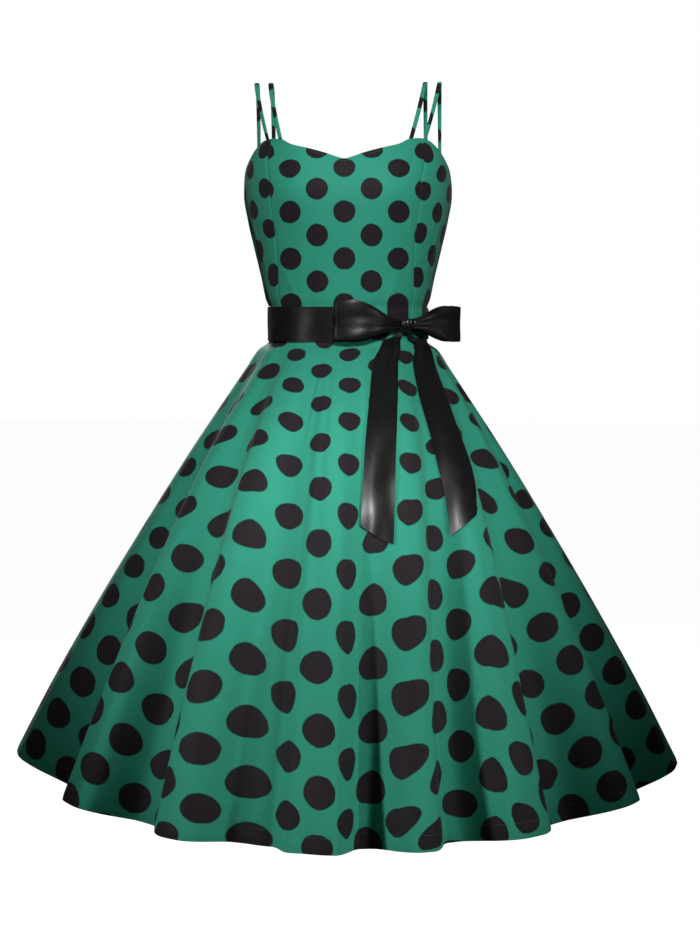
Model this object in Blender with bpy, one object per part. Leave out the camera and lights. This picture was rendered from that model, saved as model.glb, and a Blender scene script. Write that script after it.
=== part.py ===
"""A sleeveless swing dress, filled out as if worn, with double shoulder straps and a tied ribbon belt.

Metres, +Z up. The origin lies midway between the shoulder straps, at the height of their tops.
The front of the dress faces -Y and +X is the wearer's left. Angles around the body are in degrees
from the front centre, positive towards +X, so 90 is the wearer's left side and 180 the centre back.
"""
import math

import bmesh
import bpy
from mathutils import Vector

# Walls and seams
CLOTH = 0.0015              # wall of the dress cloth
RIBBON = 0.0012             # wall of the satin ribbon
SEAM_GAP = 0.0003           # between two pieces that are sewn together
LAY_GAP = 0.0006            # between a panel and what lies on it

# Heights of the main levels
WAIST_SEAM = -0.3375
BELT_TOP = -0.3138
BELT_BOTTOM = -0.3618
UNDERARM = -0.150
BACK_EDGE = -0.160

# Bodice outline: height, half width, depth of the front, depth of the back
BODICE = (
    (-0.345, 0.1125, 0.0925, 0.0880),
    (-0.315, 0.1125, 0.0925, 0.0880),
    (-0.304, 0.1165, 0.0955, 0.0915),
    (-0.273, 0.1230, 0.1010, 0.0960),
    (-0.233, 0.1325, 0.1100, 0.1040),
    (-0.193, 0.1415, 0.1200, 0.1100),
    (-0.158, 0.1468, 0.1255, 0.1140),
    (-0.128, 0.1455, 0.1215, 0.1155),
    (-0.103, 0.1385, 0.1140, 0.1140),
    (-0.078, 0.1270, 0.1040, 0.1100),
)
BODICE_ROWS = (WAIST_SEAM, -0.3145, -0.3045, -0.279, -0.247, -0.217, -0.188)
UPPER_ROWS = 4              # further rows, up to the top edge
BODICE_STEP = 6.5           # degrees between the columns of a bodice panel
BUST_LEVEL = -0.2           # where the columns are counted
SQUARENESS = 0.9            # below 1, the section is a little fuller than an ellipse
CUP_ANGLE = 29.0            # centre of each bust cup
CUP_HEIGHT = -0.150
CUP_SPREAD = (17.0, 0.042)  # degrees and metres
CUP_RISE = 0.0075

# Top edge: angle, height. The sweetheart point is at 0 and the underarm at 90.
TOP_EDGE = (
    (0, -0.1155), (4, -0.1125), (11, -0.1065), (21, -0.1000), (33, -0.0935), (42, -0.0860),
    (52, -0.0840), (60, -0.0860), (66, -0.0925), (72, -0.1035), (78, -0.1190), (84, -0.1360),
    (90, UNDERARM), (104, -0.1570), (125, BACK_EDGE), (180, -0.1620),
)
# Princess seam: height, angle
PRINCESS = (
    (-0.345, 55.0), (-0.300, 53.0), (-0.255, 48.0), (-0.215, 45.0), (-0.155, 44.5), (-0.115, 49.0),
    (-0.080, 52.5),
)

# Skirt outline as distance from the axis and height, from the waist seam to the hem
SKIRT_SIDE = (
    (0.1125, WAIST_SEAM), (0.1125, -0.3625), (0.1270, -0.3750), (0.1430, -0.4005), (0.1592, -0.4262),
    (0.2155, -0.5160), (0.2745, -0.6155), (0.3450, -0.7385), (0.4080, -0.8555), (0.4570, -0.9560),
)
SKIRT_FRONT = (
    (0.0925, WAIST_SEAM), (0.0925, -0.3625), (0.1120, -0.3795), (0.1650, -0.4185), (0.2130, -0.4625),
    (0.2540, -0.5165), (0.2870, -0.5775), (0.3130, -0.6445), (0.3370, -0.7195), (0.3590, -0.7935),
    (0.3800, -0.8685), (0.3960, -0.9360), (0.4030, -0.9810),
)
BACK_SHARE = 0.97           # depth of the back of the skirt against its front
HEM_LIFT = (-66.0, 20.0, 0.011)  # the hem rides up at one side: angle, spread, rise
SKIRT_ROWS = (0.0, 0.0335, 0.052, 0.085, 0.14, 0.22, 0.34, 0.48, 0.63, 0.81, 1.0)

# Folds of the skirt, crest and trough in turn: angle at the waist, angle at the hem, rise at the hem,
# and the share of the length where it starts (0 waist, 1 hem)
FOLDS = (
    (-172, -172, 0.013, 0.06), (-163, -163, -0.013, 0.06), (-153, -152, 0.015, 0.04),
    (-143, -142, -0.014, 0.06), (-133, -131, 0.016, 0.03), (-122, -121, -0.016, 0.04),
    (-111, -110, 0.015, 0.05), (-100, -98, -0.014, 0.04), (-84, -76, 0.0135, 0.03),
    (-70, -57, -0.017, 0.03), (-55, -47, 0.017, 0.03), (-44, -36, -0.018, 0.04),
    (-34, -25.5, 0.015, 0.04), (-15, -16, -0.013, 0.05), (-11.5, -11, -0.0105, 0.10),
    (-7, -6.2, 0.0085, 0.10), (-3.0, 0.0, 0.013, 0.03), (13.0, 4.7, -0.013, 0.05),
    (34, 14.6, 0.013, 0.04), (47, 20, -0.017, 0.03), (59, 31.5, 0.016, 0.03),
    (68, 42, -0.017, 0.04), (78, 53.5, 0.016, 0.04), (84, 63, -0.015, 0.05),
    (90, 76, 0.012, 0.03), (98, 97, -0.014, 0.04), (108, 108, 0.015, 0.05),
    (118, 119, -0.016, 0.03), (129, 130, 0.014, 0.04), (140, 141, -0.015, 0.05),
    (150, 151, 0.016, 0.03), (161, 161, -0.013, 0.06), (171, 171, 0.013, 0.06),
    (180, 180, -0.011, 0.08),
)
FOLD_TURN = 2               # the folds fan out from waist to hem by this power of what is left
FOLD_DEPTH = 1.65           # all rises are scaled by this
FOLD_GROWTH = 1.1           # how the rise of a fold grows on its way down
FOLD_FLANK = 1.25           # above 1, crests and troughs are broader and the flanks steeper
FOLD_STEP = 4.2             # degrees between the columns of a fold, at most

# Shoulder straps: angle of the front foot, reach at the shoulder, angle of the back foot
STRAPS = {"inner": (44.0, 0.1085, 130.0), "outer": (57.5, 0.1285, 115.0)}
STRAP_WIDTH = 0.0062
STRAP_THICK = 0.0016
STRAP_TUCK = 0.012          # length sewn inside the top edge
STRAP_LAY = 0.0009          # clear of the wall that it is tucked behind
STRAP_CROWN = 0.002         # the strap's top lies this far behind the middle
STRAP_LEAD = (0.75, 0.42)   # how soon a strap turns to its reach and depth on its way up
STRAP_CLIMB = {"front": 0.62, "back": 0.75}
STRAP_ROUND = 0.40          # how broad the curve over the shoulder is
STRAP_STEPS = 7             # steps from a foot to the crown

# Bow
KNOT_ANGLE = 43.7
KNOT_SIZE = (0.0215, 0.0130, 0.0170)
KNOT_MIDDLE = -0.3385
KNOT_FACES = (8, 14)        # rings and faces round each
KNOT_SOFTNESS = 0.72        # 1 is an oval, less is squarer
BELT_HALF = (BELT_TOP - BELT_BOTTOM) / 2
BELT_NECK = 0.0075          # half width of the ribbon where it enters the knot
BELT_GATHER = (62.0, 34.0)  # degrees over which it narrows, on the wearer's left and right of the knot
BELT_RAISE = 0.0022         # how far the gathered ribbon stands off the waist
BELT_ENTRY = 3.0            # degrees from the knot's middle to the belt's ends
BELT_COLUMNS = 60
LOOP_HALF = 0.0245          # half width of a loop at its far end
LOOP_NECK = 0.0062
LOOP_WIDE_AT = 0.85         # share of a loop's length where it reaches full width
LOOP_STEPS = 8
LOOP_BEND = 0.055           # length of the turn at the far end, as a share of the loop
LOOP_PUCKER = 0.0008        # height of the pleats next to the knot
LOOP_SPACE = (0.0016, 0.72) # half the space between its layers at the knot, and the shape of its swell
LEFT_LOOP = {"length": 0.0704, "lean": (0.90, 0.43, 0.0), "turn": 0.65, "swell": 0.0085, "climb": 0.001}
LEFT_ROOT = (0.0004, 0.001) # the left loop starts this far outside the knot and this far in
RIGHT_LOOP = {"from": 8.0, "swing": 40.0, "stand": 0.0012, "swell": 0.0060, "climb": 0.0045}
TAIL_STEPS = 12
TAIL_COLUMNS = 4
TAIL_CLEAR = 0.0008         # further clearance over the faceted skirt

# Tails. "top" runs from the knot over the belt: angle, height, half width. "route" follows on the
# skirt between two shares of its length: share of the route, centre angle, half width.
TAIL_RIGHT = {
    "top": ((40.8, -0.3480, 0.0038), (36.5, -0.3560, 0.0080)),
    "from": 0.045, "to": 0.466, "slant": 0.019, "lift": 0.0085,
    "route": ((0.0, 31.5, 0.0120), (0.12, 23.5, 0.0172), (0.31, 18.7, 0.0190), (0.60, 14.0, 0.0207),
              (0.80, 12.0, 0.0210), (1.0, 10.4, 0.0210)),
}
TAIL_LEFT = {
    "top": ((46.8, -0.3480, 0.0034), (50.5, -0.3560, 0.0062)),
    "from": 0.045, "to": 0.450, "slant": -0.016, "lift": 0.0085,
    "route": ((0.0, 56.0, 0.0100), (0.12, 49.0, 0.0195), (0.30, 44.7, 0.0235), (0.60, 41.4, 0.0240),
              (0.80, 39.4, 0.0235), (1.0, 36.0, 0.0210)),
}

# Zip at the centre back
ZIP_HALF = 0.012
ZIP_TAPE = 0.0010
ZIP_LAY = 0.0015            # clear of the wall that covers it
ZIP_TOP = 0.004             # below the back's top edge
ZIP_END = 0.20              # how far down the skirt the zip runs (0 waist, 1 hem)
SLIDER = (0.0070, 0.0028, 0.0105)
SLIDER_BEVEL = 0.0006
SLIDER_DROP = 0.008         # below the back's top edge
SLIDER_LAY = 0.0010         # clear of the cloth
LUG_THICK = 0.0010
LUG_HEIGHT = 0.0030
LUG_NOSE = 0.0016           # metal beyond the pin
LUG_ROOT = 0.0003           # how deep the lugs start inside the slider
LUG_INSIDE = 0.0034         # clear space between the lugs
PIN_RADIUS = 0.0006
PIN_RISE = 0.0005           # above the slider's middle
BARREL_LAY = 0.0005         # between the slider and the pull's barrel
PULL_BORE = 0.0010
PULL_BARREL = (0.0017, 0.0026)   # radius and length
PULL_TAB = (0.0050, 0.0011, 0.0190)
PULL_TAB_BEVEL = 0.0004
PULL_NECK = 0.0026          # from the pin down to the top of the tab
PULL_NECK_SIZE = 0.0018
PULL_NECK_LAP = 0.0006      # the neck's middle stands this far above the tab

GREEN = (0.021, 0.352, 0.205)
BLACK = (0.017, 0.016, 0.018)
STEEL = (0.55, 0.56, 0.55)


def curve(points):
    """A smooth line through (x, y) points that never overshoots them."""
    xs = [p[0] for p in points]
    ys = [p[1] for p in points]
    rise = [(ys[k + 1] - ys[k]) / (xs[k + 1] - xs[k]) for k in range(len(xs) - 1)]
    slope = [rise[0]]
    for before, after in zip(rise, rise[1:]):
        together = before * after > 0
        slope.append(2 * before * after / (before + after) if together else 0.0)
    slope.append(rise[-1])

    def value(x):
        if x <= xs[0]:
            return ys[0]
        if x >= xs[-1]:
            return ys[-1]
        k = max(i for i in range(len(xs) - 1) if xs[i] <= x)
        h = xs[k + 1] - xs[k]
        t = (x - xs[k]) / h
        return (
            ys[k] * (1 + 2 * t) * (1 - t) ** 2
            + slope[k] * h * t * (1 - t) ** 2
            + ys[k + 1] * t * t * (3 - 2 * t)
            - slope[k + 1] * h * t * t * (1 - t)
        )

    return value


def along(points):
    """Both coordinates of an outline as smooth functions of the share of its length."""
    lengths = [0.0]
    for a, b in zip(points, points[1:]):
        lengths.append(lengths[-1] + math.dist(a, b))
    shares = [length / lengths[-1] for length in lengths]
    return (
        curve(list(zip(shares, [p[0] for p in points]))),
        curve(list(zip(shares, [p[1] for p in points]))),
    )


half_width = curve([(row[0], row[1]) for row in BODICE])
front_depth = curve([(row[0], row[2]) for row in BODICE])
back_depth = curve([(row[0], row[3]) for row in BODICE])
top_edge = curve(TOP_EDGE)
princess = curve(PRINCESS)
side_reach, side_height = along(SKIRT_SIDE)
front_reach, front_height = along(SKIRT_FRONT)


def cup(angle, z):
    """Rise of the bust cups at a place on the bodice."""
    across = (abs(angle) - CUP_ANGLE) / CUP_SPREAD[0]
    up = (z - CUP_HEIGHT) / CUP_SPREAD[1]
    return CUP_RISE * math.exp(-across * across - up * up)


def bodice_point(angle, z):
    """A point of the bodice's outer face."""
    a = math.radians(angle)
    c = math.cos(a)
    depth = front_depth(z) if c > 0 else back_depth(z)
    reach = math.copysign(abs(c) ** SQUARENESS, c)
    swell = cup(angle, z) if c > 0 else 0.0
    return Vector((half_width(z) * math.sin(a), -(depth + swell) * reach, z))


def fold_marks(share):
    """Angle and rise of every fold at a share of the skirt's length, once round."""
    turn = (1 - share) ** FOLD_TURN
    marks = []
    for at_waist, at_hem, rise, start in FOLDS:
        grown = FOLD_DEPTH * max(0.0, (share - start) / (1 - start)) ** FOLD_GROWTH
        marks.append((at_hem + (at_waist - at_hem) * turn, rise * grown))
    first, last = marks[0], marks[-1]
    return [(last[0] - 360, last[1])] + marks + [(first[0] + 360, first[1])]


def fold_rise(angle, share):
    """How far the folds move the skirt outwards."""
    marks = fold_marks(share)
    for (a0, r0), (a1, r1) in zip(marks, marks[1:]):
        if a0 <= angle <= a1:
            across = 0.5 + FOLD_FLANK * ((angle - a0) / (a1 - a0) - 0.5)
            blend = (1 - math.cos(math.pi * min(max(across, 0.0), 1.0))) / 2
            return r0 + (r1 - r0) * blend
    return marks[-1][1]


def skirt_base(angle, share):
    """The skirt's outer face before its folds."""
    a = math.radians(angle)
    s, c = math.sin(a), math.cos(a)
    depth = front_reach(share)
    if c < 0:
        waist_depth = BODICE[0][3]
        grown = depth - SKIRT_FRONT[0][0]
        depth = waist_depth + grown * BACK_SHARE
    z = side_height(share) * s * s + front_height(share) * c * c
    where, spread_over, lift = HEM_LIFT
    z += lift * share * math.exp(-(((angle - where) / spread_over) ** 2))
    return Vector((side_reach(share) * s, -depth * c, z))


def facing(point_at, u, v, du, dv):
    """The outward direction of a face given as a function of two numbers."""
    across = point_at(u + du, v) - point_at(u - du, v)
    down = point_at(u, v + dv) - point_at(u, v - dv)
    return down.cross(across).normalized()


def skirt_point(angle, share):
    """A point of the skirt's outer face, folds and all."""
    share = min(max(share, 0.0), 1.0)
    base = skirt_base(angle, share)
    rise = fold_rise((angle + 180) % 360 - 180, share)
    if rise == 0.0:
        return base
    out = facing(skirt_base, angle, min(max(share, 0.01), 0.99), 0.5, 0.01)
    return base + out * rise


def bodice_facing(angle, z):
    return facing(lambda u, v: bodice_point(u, -v), angle, -z, 0.5, 0.003)


def skirt_facing(angle, share):
    return facing(skirt_point, angle, min(max(share, 0.006), 0.994), 0.4, 0.006)


def material(name, color, roughness, metallic=0.0):
    mat = bpy.data.materials.new(name)
    mat.use_nodes = True
    shader = mat.node_tree.nodes["Principled BSDF"]
    shader.inputs["Base Color"].default_value = (*color, 1.0)
    shader.inputs["Roughness"].default_value = roughness
    shader.inputs["Metallic"].default_value = metallic
    return mat


def add_object(name, mesh, mat):
    obj = bpy.data.objects.new(name, mesh)
    bpy.context.scene.collection.objects.link(obj)
    mesh.materials.append(mat)
    return obj


def add_wall(name, rows, thickness, mat, smooth_angle=60.0):
    """A closed wall from rows of (point, outward direction); the points lie on its outer face."""
    bm = bmesh.new()
    outer = [[bm.verts.new(p) for p, n in row] for row in rows]
    inner = [[bm.verts.new(p - n * thickness) for p, n in row] for row in rows]
    high, wide = len(rows), len(rows[0])
    for j in range(high - 1):
        for i in range(wide - 1):
            for side in (outer, inner):
                bm.faces.new((side[j][i], side[j + 1][i], side[j + 1][i + 1], side[j][i + 1]))
    rim = [(0, i) for i in range(wide)] + [(j, wide - 1) for j in range(1, high)]
    rim += [(high - 1, i) for i in range(wide - 2, -1, -1)] + [(j, 0) for j in range(high - 2, 0, -1)]
    for (j0, i0), (j1, i1) in zip(rim, rim[1:] + rim[:1]):
        bm.faces.new((outer[j0][i0], outer[j1][i1], inner[j1][i1], inner[j0][i0]))
    return finish(name, bm, mat, smooth_angle)


def finish(name, bm, mat, smooth_angle):
    bmesh.ops.recalc_face_normals(bm, faces=bm.faces)
    bmesh.ops.triangulate(bm, faces=bm.faces)
    mesh = bpy.data.meshes.new(name)
    bm.to_mesh(mesh)
    bm.free()
    mesh.shade_smooth()
    mesh.set_sharp_from_angle(angle=math.radians(smooth_angle))
    return add_object(name, mesh, mat)


def spread(stops, step):
    """How many even pieces, at least two, each stretch between neighbouring stops is split into."""
    return [max(2, math.ceil((b - a) / step - 1e-6)) for a, b in zip(stops, stops[1:])]


def bodice_panel(name, left_edge, right_edge, mat):
    """A bodice panel between two seams, each given as a function from height to angle."""
    columns = math.ceil((right_edge(BUST_LEVEL) - left_edge(BUST_LEVEL)) / BODICE_STEP)
    table = []
    for i in range(columns + 1):
        share = i / columns

        def angle_at(z, share=share):
            left, right = left_edge(z), right_edge(z)
            half_gap = math.degrees(SEAM_GAP / 2 / bodice_point(left, z).xy.length)
            return left + half_gap + (right - left - 2 * half_gap) * share

        top = CUP_HEIGHT
        for _ in range(12):  # the seams slope, so the angle at the top is found in steps
            top = top_edge(abs(angle_at(top)))
        heights = [WAIST_SEAM + SEAM_GAP / 2, *BODICE_ROWS[1:]]
        heights += [heights[-1] + (top - heights[-1]) * k / UPPER_ROWS for k in range(1, UPPER_ROWS + 1)]
        table.append([(angle_at(z), z) for z in reversed(heights)])
    rows = [[(bodice_point(*cell), bodice_facing(*cell)) for cell in row] for row in zip(*table)]
    return add_wall(name, rows, CLOTH, mat)


def make_bodice(mat):
    side = 90.0
    bodice_panel("bodice_front", lambda z: -princess(z), princess, mat("bodice_front"))
    bodice_panel("bodice_side_right", lambda z: -side, lambda z: -princess(z), mat("bodice_side_right"))
    bodice_panel("bodice_side_left", princess, lambda z: side, mat("bodice_side_left"))
    bodice_panel("bodice_back_left", lambda z: side, lambda z: 180.0, mat("bodice_back_left"))
    bodice_panel("bodice_back_right", lambda z: -180.0, lambda z: -side, mat("bodice_back_right"))


def skirt_panel(name, left, right, mat):
    """A skirt panel between two seams at fixed angles, with columns on every fold's crest."""
    hem_stops = [left, *[f[1] for f in FOLDS if left < f[1] < right], right]
    parts = spread(hem_stops, FOLD_STEP)
    rows = []
    for share in SKIRT_ROWS:
        depth = skirt_base(left, share).xy.length
        half_gap = math.degrees(SEAM_GAP / 2 / depth) * 1.05
        stops = [left + half_gap]
        turn = (1 - share) ** FOLD_TURN
        stops += [f[1] + (f[0] - f[1]) * turn for f in FOLDS if left < f[1] < right]
        stops.append(right - half_gap)
        angles = [stops[0]]
        for a, b, count in zip(stops, stops[1:], parts):
            angles += [a + (b - a) * k / count for k in range(1, count + 1)]
        row = [(skirt_point(a, share), skirt_facing(a, share)) for a in angles]
        if share == 0.0:
            row = [(p - Vector((0, 0, SEAM_GAP / 2)), Vector((n.x, n.y, 0)).normalized()) for p, n in row]
        rows.append(row)
    return add_wall(name, rows, CLOTH, mat)


def make_skirt(mat):
    skirt_panel("skirt_front", -90.0, 90.0, mat("skirt_front"))
    skirt_panel("skirt_back_left", 90.0, 180.0, mat("skirt_back_left"))
    skirt_panel("skirt_back_right", -180.0, -90.0, mat("skirt_back_right"))


def sweep(name, stations, width, thickness, mat):
    """A flat band along stations of (centre, direction of its width)."""
    rows = []
    for k, (centre, across) in enumerate(stations):
        before = stations[max(k - 1, 0)][0]
        after = stations[min(k + 1, len(stations) - 1)][0]
        forward = (after - before).normalized()
        across = (across - forward * across.dot(forward)).normalized()
        out = across.cross(forward).normalized()
        edge = centre + out * thickness / 2
        rows.append([(edge - across * width / 2, out), (edge + across * width / 2, out)])
    return add_wall(name, rows, thickness, mat, 40.0)


def strap_route(front_angle, reach, back_angle, side):
    """The middle of a strap, tucked in at the front, over the shoulder and tucked in at the back."""
    sunk = CLOTH + STRAP_LAY + STRAP_THICK / 2
    feet = []
    for angle in (front_angle, back_angle):
        edge = top_edge(angle)
        foot = []
        for drop in (STRAP_TUCK, STRAP_TUCK / 2, 0.0):
            z = edge - drop
            foot.append(bodice_point(angle, z) - bodice_facing(angle, z) * sunk)
        tangent = bodice_point(angle + 1, edge) - bodice_point(angle - 1, edge)
        feet.append((foot, tangent.normalized()))
    (front, front_across), (back, back_across) = feet
    crown = Vector((reach, STRAP_CROWN, -STRAP_THICK / 2))
    over = Vector((1, 0, 0))
    back_across = -back_across

    def rise(start, start_across, climb):
        lead = start + (crown - start) * Vector((*STRAP_LEAD, climb))
        near_top = Vector((crown.x, crown.y + (start.y - crown.y) * STRAP_ROUND, crown.z))
        stretch = []
        for k in range(1, STRAP_STEPS):
            t = k / STRAP_STEPS
            p = (
                start * (1 - t) ** 3
                + lead * 3 * t * (1 - t) ** 2
                + near_top * 3 * t * t * (1 - t)
                + crown * t**3
            )
            stretch.append((p, start_across.lerp(over, t)))
        return stretch

    stations = [(p, front_across) for p in front]
    stations += rise(front[-1], front_across, STRAP_CLIMB["front"])
    stations.append((crown, over))
    stations += reversed(rise(back[-1], back_across, STRAP_CLIMB["back"]))
    stations += [(p, back_across) for p in reversed(back)]
    return [(p * Vector((side, 1, 1)), a * Vector((1, side, side))) for p, a in stations]


def make_straps(mat):
    for side, word in ((1, "left"), (-1, "right")):
        for which, (front_angle, reach, back_angle) in STRAPS.items():
            name = f"strap_{which}_{word}"
            route = strap_route(front_angle, reach, back_angle, side)
            sweep(name, route, STRAP_WIDTH, STRAP_THICK, mat(name))


def belt_point(angle, z, off):
    """A point outside the waist, off the dress by a distance."""
    return bodice_point(angle, WAIST_SEAM).xy.to_3d() + Vector((0, 0, z)) + waist_facing(angle) * off


def waist_facing(angle):
    return bodice_facing(angle, WAIST_SEAM + 0.004)


def make_belt(mat):
    """The ribbon once round the waist, gathered where both ends enter the knot."""
    start, end = KNOT_ANGLE + BELT_ENTRY, KNOT_ANGLE + 360 - BELT_ENTRY
    rows = []
    for k in range(-1, 2):
        row = []
        for i in range(BELT_COLUMNS + 1):
            share = i / BELT_COLUMNS
            angle = start + (end - start) * share
            ease = min(1.0, (angle - start) / BELT_GATHER[0], (end - angle) / BELT_GATHER[1])
            ease = ease * ease * (3 - 2 * ease)
            half = BELT_NECK + (BELT_HALF - BELT_NECK) * ease
            z = KNOT_MIDDLE * (1 - ease) + (BELT_TOP + BELT_BOTTOM) / 2 * ease - half * k
            off = LAY_GAP + RIBBON + BELT_RAISE * (1 - ease)
            row.append((belt_point(angle, z, off), waist_facing(angle)))
        rows.append(row)
    add_wall("belt_ribbon", rows, RIBBON, mat("belt_ribbon"))


def knot_frame():
    """The knot's centre, its outward direction and the direction to the wearer's left."""
    out = waist_facing(KNOT_ANGLE)
    stand_off = LAY_GAP + RIBBON + BELT_RAISE + SEAM_GAP + KNOT_SIZE[1] / 2
    centre = belt_point(KNOT_ANGLE, KNOT_MIDDLE, stand_off)
    return centre, out, Vector((-out.y, out.x, 0))


def make_knot(mat):
    """The ribbon wound tightly round itself: a soft pillow with squared-off sides."""
    centre, out, left = knot_frame()
    up = Vector((0, 0, 1))
    bm = bmesh.new()
    rings, around = KNOT_FACES

    def soft(value):
        return math.copysign(abs(value) ** KNOT_SOFTNESS, value)

    def place(lat, lon):
        flat = soft(math.cos(lat))
        x = flat * soft(math.cos(lon)) * KNOT_SIZE[0] / 2
        y = flat * soft(math.sin(lon)) * KNOT_SIZE[1] / 2
        z = soft(math.sin(lat)) * KNOT_SIZE[2] / 2
        return centre + left * x + out * y + up * z

    top = bm.verts.new(place(math.pi / 2, 0))
    bottom = bm.verts.new(place(-math.pi / 2, 0))
    bands = []
    for j in range(1, rings):
        lat = math.pi / 2 - math.pi * j / rings
        bands.append([bm.verts.new(place(lat, 2 * math.pi * i / around)) for i in range(around)])
    for i in range(around):
        n = (i + 1) % around
        bm.faces.new((top, bands[0][i], bands[0][n]))
        bm.faces.new((bottom, bands[-1][n], bands[-1][i]))
        for a, b in zip(bands, bands[1:]):
            bm.faces.new((a[i], b[i], b[n], a[n]))
    finish("bow_knot", bm, mat("bow_knot"), 60.0)


def loop_wall(name, axis_at, climb, mat):
    """A bow loop: the ribbon runs out from the knot, turns over and comes back behind itself.

    axis_at gives, for a share of the loop's length, the middle of the loop, the outward direction
    and half of the space between its two layers. climb is how far the far end stands higher.
    """
    stations = []
    for k in range(LOOP_STEPS + 1):
        stations.append((k / LOOP_STEPS, 1.0))
    for turn in (45.0, 90.0, 135.0):
        stations.append((1.0 + LOOP_BEND * math.sin(math.radians(turn)), math.cos(math.radians(turn))))
    for k in range(LOOP_STEPS, -1, -1):
        stations.append((k / LOOP_STEPS, -1.0))
    rows = []
    for k in range(-2, 3):
        row = []
        for share, side in stations:
            middle, out, space = axis_at(share)
            ease = min(1.0, share / LOOP_WIDE_AT)
            ease = ease * ease * (3 - 2 * ease)
            half = LOOP_NECK + (LOOP_HALF - LOOP_NECK) * ease
            pucker = math.cos(math.pi * k) * LOOP_PUCKER * (1 - ease) * (1 - share)
            height = half * k / 2 + climb * share
            row.append(middle + out * (space * side + pucker) + Vector((0, 0, height)))
        rows.append(row)
    faced = []
    for j, row in enumerate(rows):
        line = []
        for i, point in enumerate(row):
            across = row[min(i + 1, len(row) - 1)] - row[max(i - 1, 0)]
            upward = rows[min(j + 1, 4)][i] - rows[max(j - 1, 0)][i]
            line.append((point, across.cross(upward).normalized()))
        faced.append(line)
    add_wall(name, faced, RIBBON, mat(name))


def loop_space(share, swell):
    """Half the space between a loop's two layers."""
    at_knot, shape = LOOP_SPACE
    return at_knot + swell * math.sin(math.pi * min(share, 1.0) * shape)


def make_loops(mat):
    centre, out, left = knot_frame()

    def left_loop(share):
        lean = Vector(LEFT_LOOP["lean"]).normalized()
        forward = left.lerp(lean, min(1.0, share * 1.5)).normalized()
        start = centre + left * (KNOT_SIZE[0] / 2 + SEAM_GAP + LEFT_ROOT[0]) - out * LEFT_ROOT[1]
        heading = left.lerp(lean, LEFT_LOOP["turn"]).normalized()
        middle = start + heading * LEFT_LOOP["length"] * share
        return middle, Vector((forward.y, -forward.x, 0)), loop_space(share, LEFT_LOOP["swell"])

    def right_loop(share):
        angle = KNOT_ANGLE - RIGHT_LOOP["from"] - RIGHT_LOOP["swing"] * share
        space = loop_space(share, RIGHT_LOOP["swell"])
        off = LAY_GAP + RIBBON + BELT_RAISE + RIBBON + RIGHT_LOOP["stand"] + space
        return belt_point(angle, KNOT_MIDDLE, off), waist_facing(angle), space

    loop_wall("bow_loop_left", left_loop, LEFT_LOOP["climb"], mat)
    loop_wall("bow_loop_right", right_loop, RIGHT_LOOP["climb"], mat)


def tail(name, plan, mat):
    """A ribbon tail that lies on the skirt, cut off at a slant."""
    route = plan["route"]
    angle_at = curve([(r[0], r[1]) for r in route])
    half_at = curve([(r[0], r[2]) for r in route])
    rows = []
    for angle, z, half in plan["top"]:
        row = []
        off = LAY_GAP + RIBBON + BELT_RAISE + LAY_GAP + RIBBON
        for i in range(TAIL_COLUMNS + 1):
            side = 2 * i / TAIL_COLUMNS - 1
            here = angle + side * math.degrees(half / belt_point(angle, z, off).xy.length)
            row.append((belt_point(here, z, off), waist_facing(here)))
        rows.append(row)
    for k in range(TAIL_STEPS + 1):
        along_share = k / TAIL_STEPS
        row = []
        for i in range(TAIL_COLUMNS + 1):
            side = 2 * i / TAIL_COLUMNS - 1
            share = plan["from"] + (plan["to"] - plan["from"]) * along_share
            share += plan["slant"] * side * along_share**6
            angle = angle_at(along_share)
            stretch = (skirt_point(angle + 1, share) - skirt_point(angle - 1, share)).length / 2
            angle += side * half_at(along_share) / stretch
            lift = LAY_GAP + TAIL_CLEAR + plan["lift"] * (1 - along_share) ** 6
            facing_here = skirt_facing(angle, share)
            row.append((skirt_point(angle, share) + facing_here * (lift + RIBBON), facing_here))
        rows.append(row)
    add_wall(name, rows, RIBBON, mat(name))


def make_tails(mat):
    tail("bow_tail_right", TAIL_RIGHT, mat)
    tail("bow_tail_left", TAIL_LEFT, mat)


def make_zip_tape(mat):
    """The tape of the concealed zip, inside the centre-back seam."""
    sunk = CLOTH + ZIP_LAY
    heights = [top_edge(180) - ZIP_TOP]
    heights += [z for z in reversed(BODICE_ROWS) if z < heights[0]]
    rows = []
    for z in heights:
        half = math.degrees(ZIP_HALF / bodice_point(180, z).xy.length)
        angles = [180 + half * k for k in (-1, 0, 1)]
        rows.append([(bodice_point(a, z) - bodice_facing(a, z) * sunk, bodice_facing(a, z)) for a in angles])
    for share in [s for s in SKIRT_ROWS if 0.0 < s < ZIP_END] + [ZIP_END]:
        half = math.degrees(ZIP_HALF / skirt_point(180, share).xy.length)
        angles = [180 + half * k for k in (-1, 0, 1)]
        row = []
        for a in angles:
            n = skirt_facing(a, share)
            row.append((skirt_point(a, share) - n * sunk, n))
        rows.append(row)
    add_wall("zip_tape", rows, ZIP_TAPE, mat("zip_tape"))


def box(name, size, centre, mat, bevel=0.0, hidden=False):
    bm = bmesh.new()
    bmesh.ops.create_cube(bm, size=1.0)
    for v in bm.verts:
        v.co = Vector(v.co) * Vector(size) + Vector(centre)
    if bevel:
        bmesh.ops.bevel(bm, geom=bm.edges[:], offset=bevel, segments=1, affect="EDGES")
    mesh = bpy.data.meshes.new(name)
    bm.to_mesh(mesh)
    bm.free()
    obj = add_object(name, mesh, mat)
    if hidden:
        hide(obj)
    return obj


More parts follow.
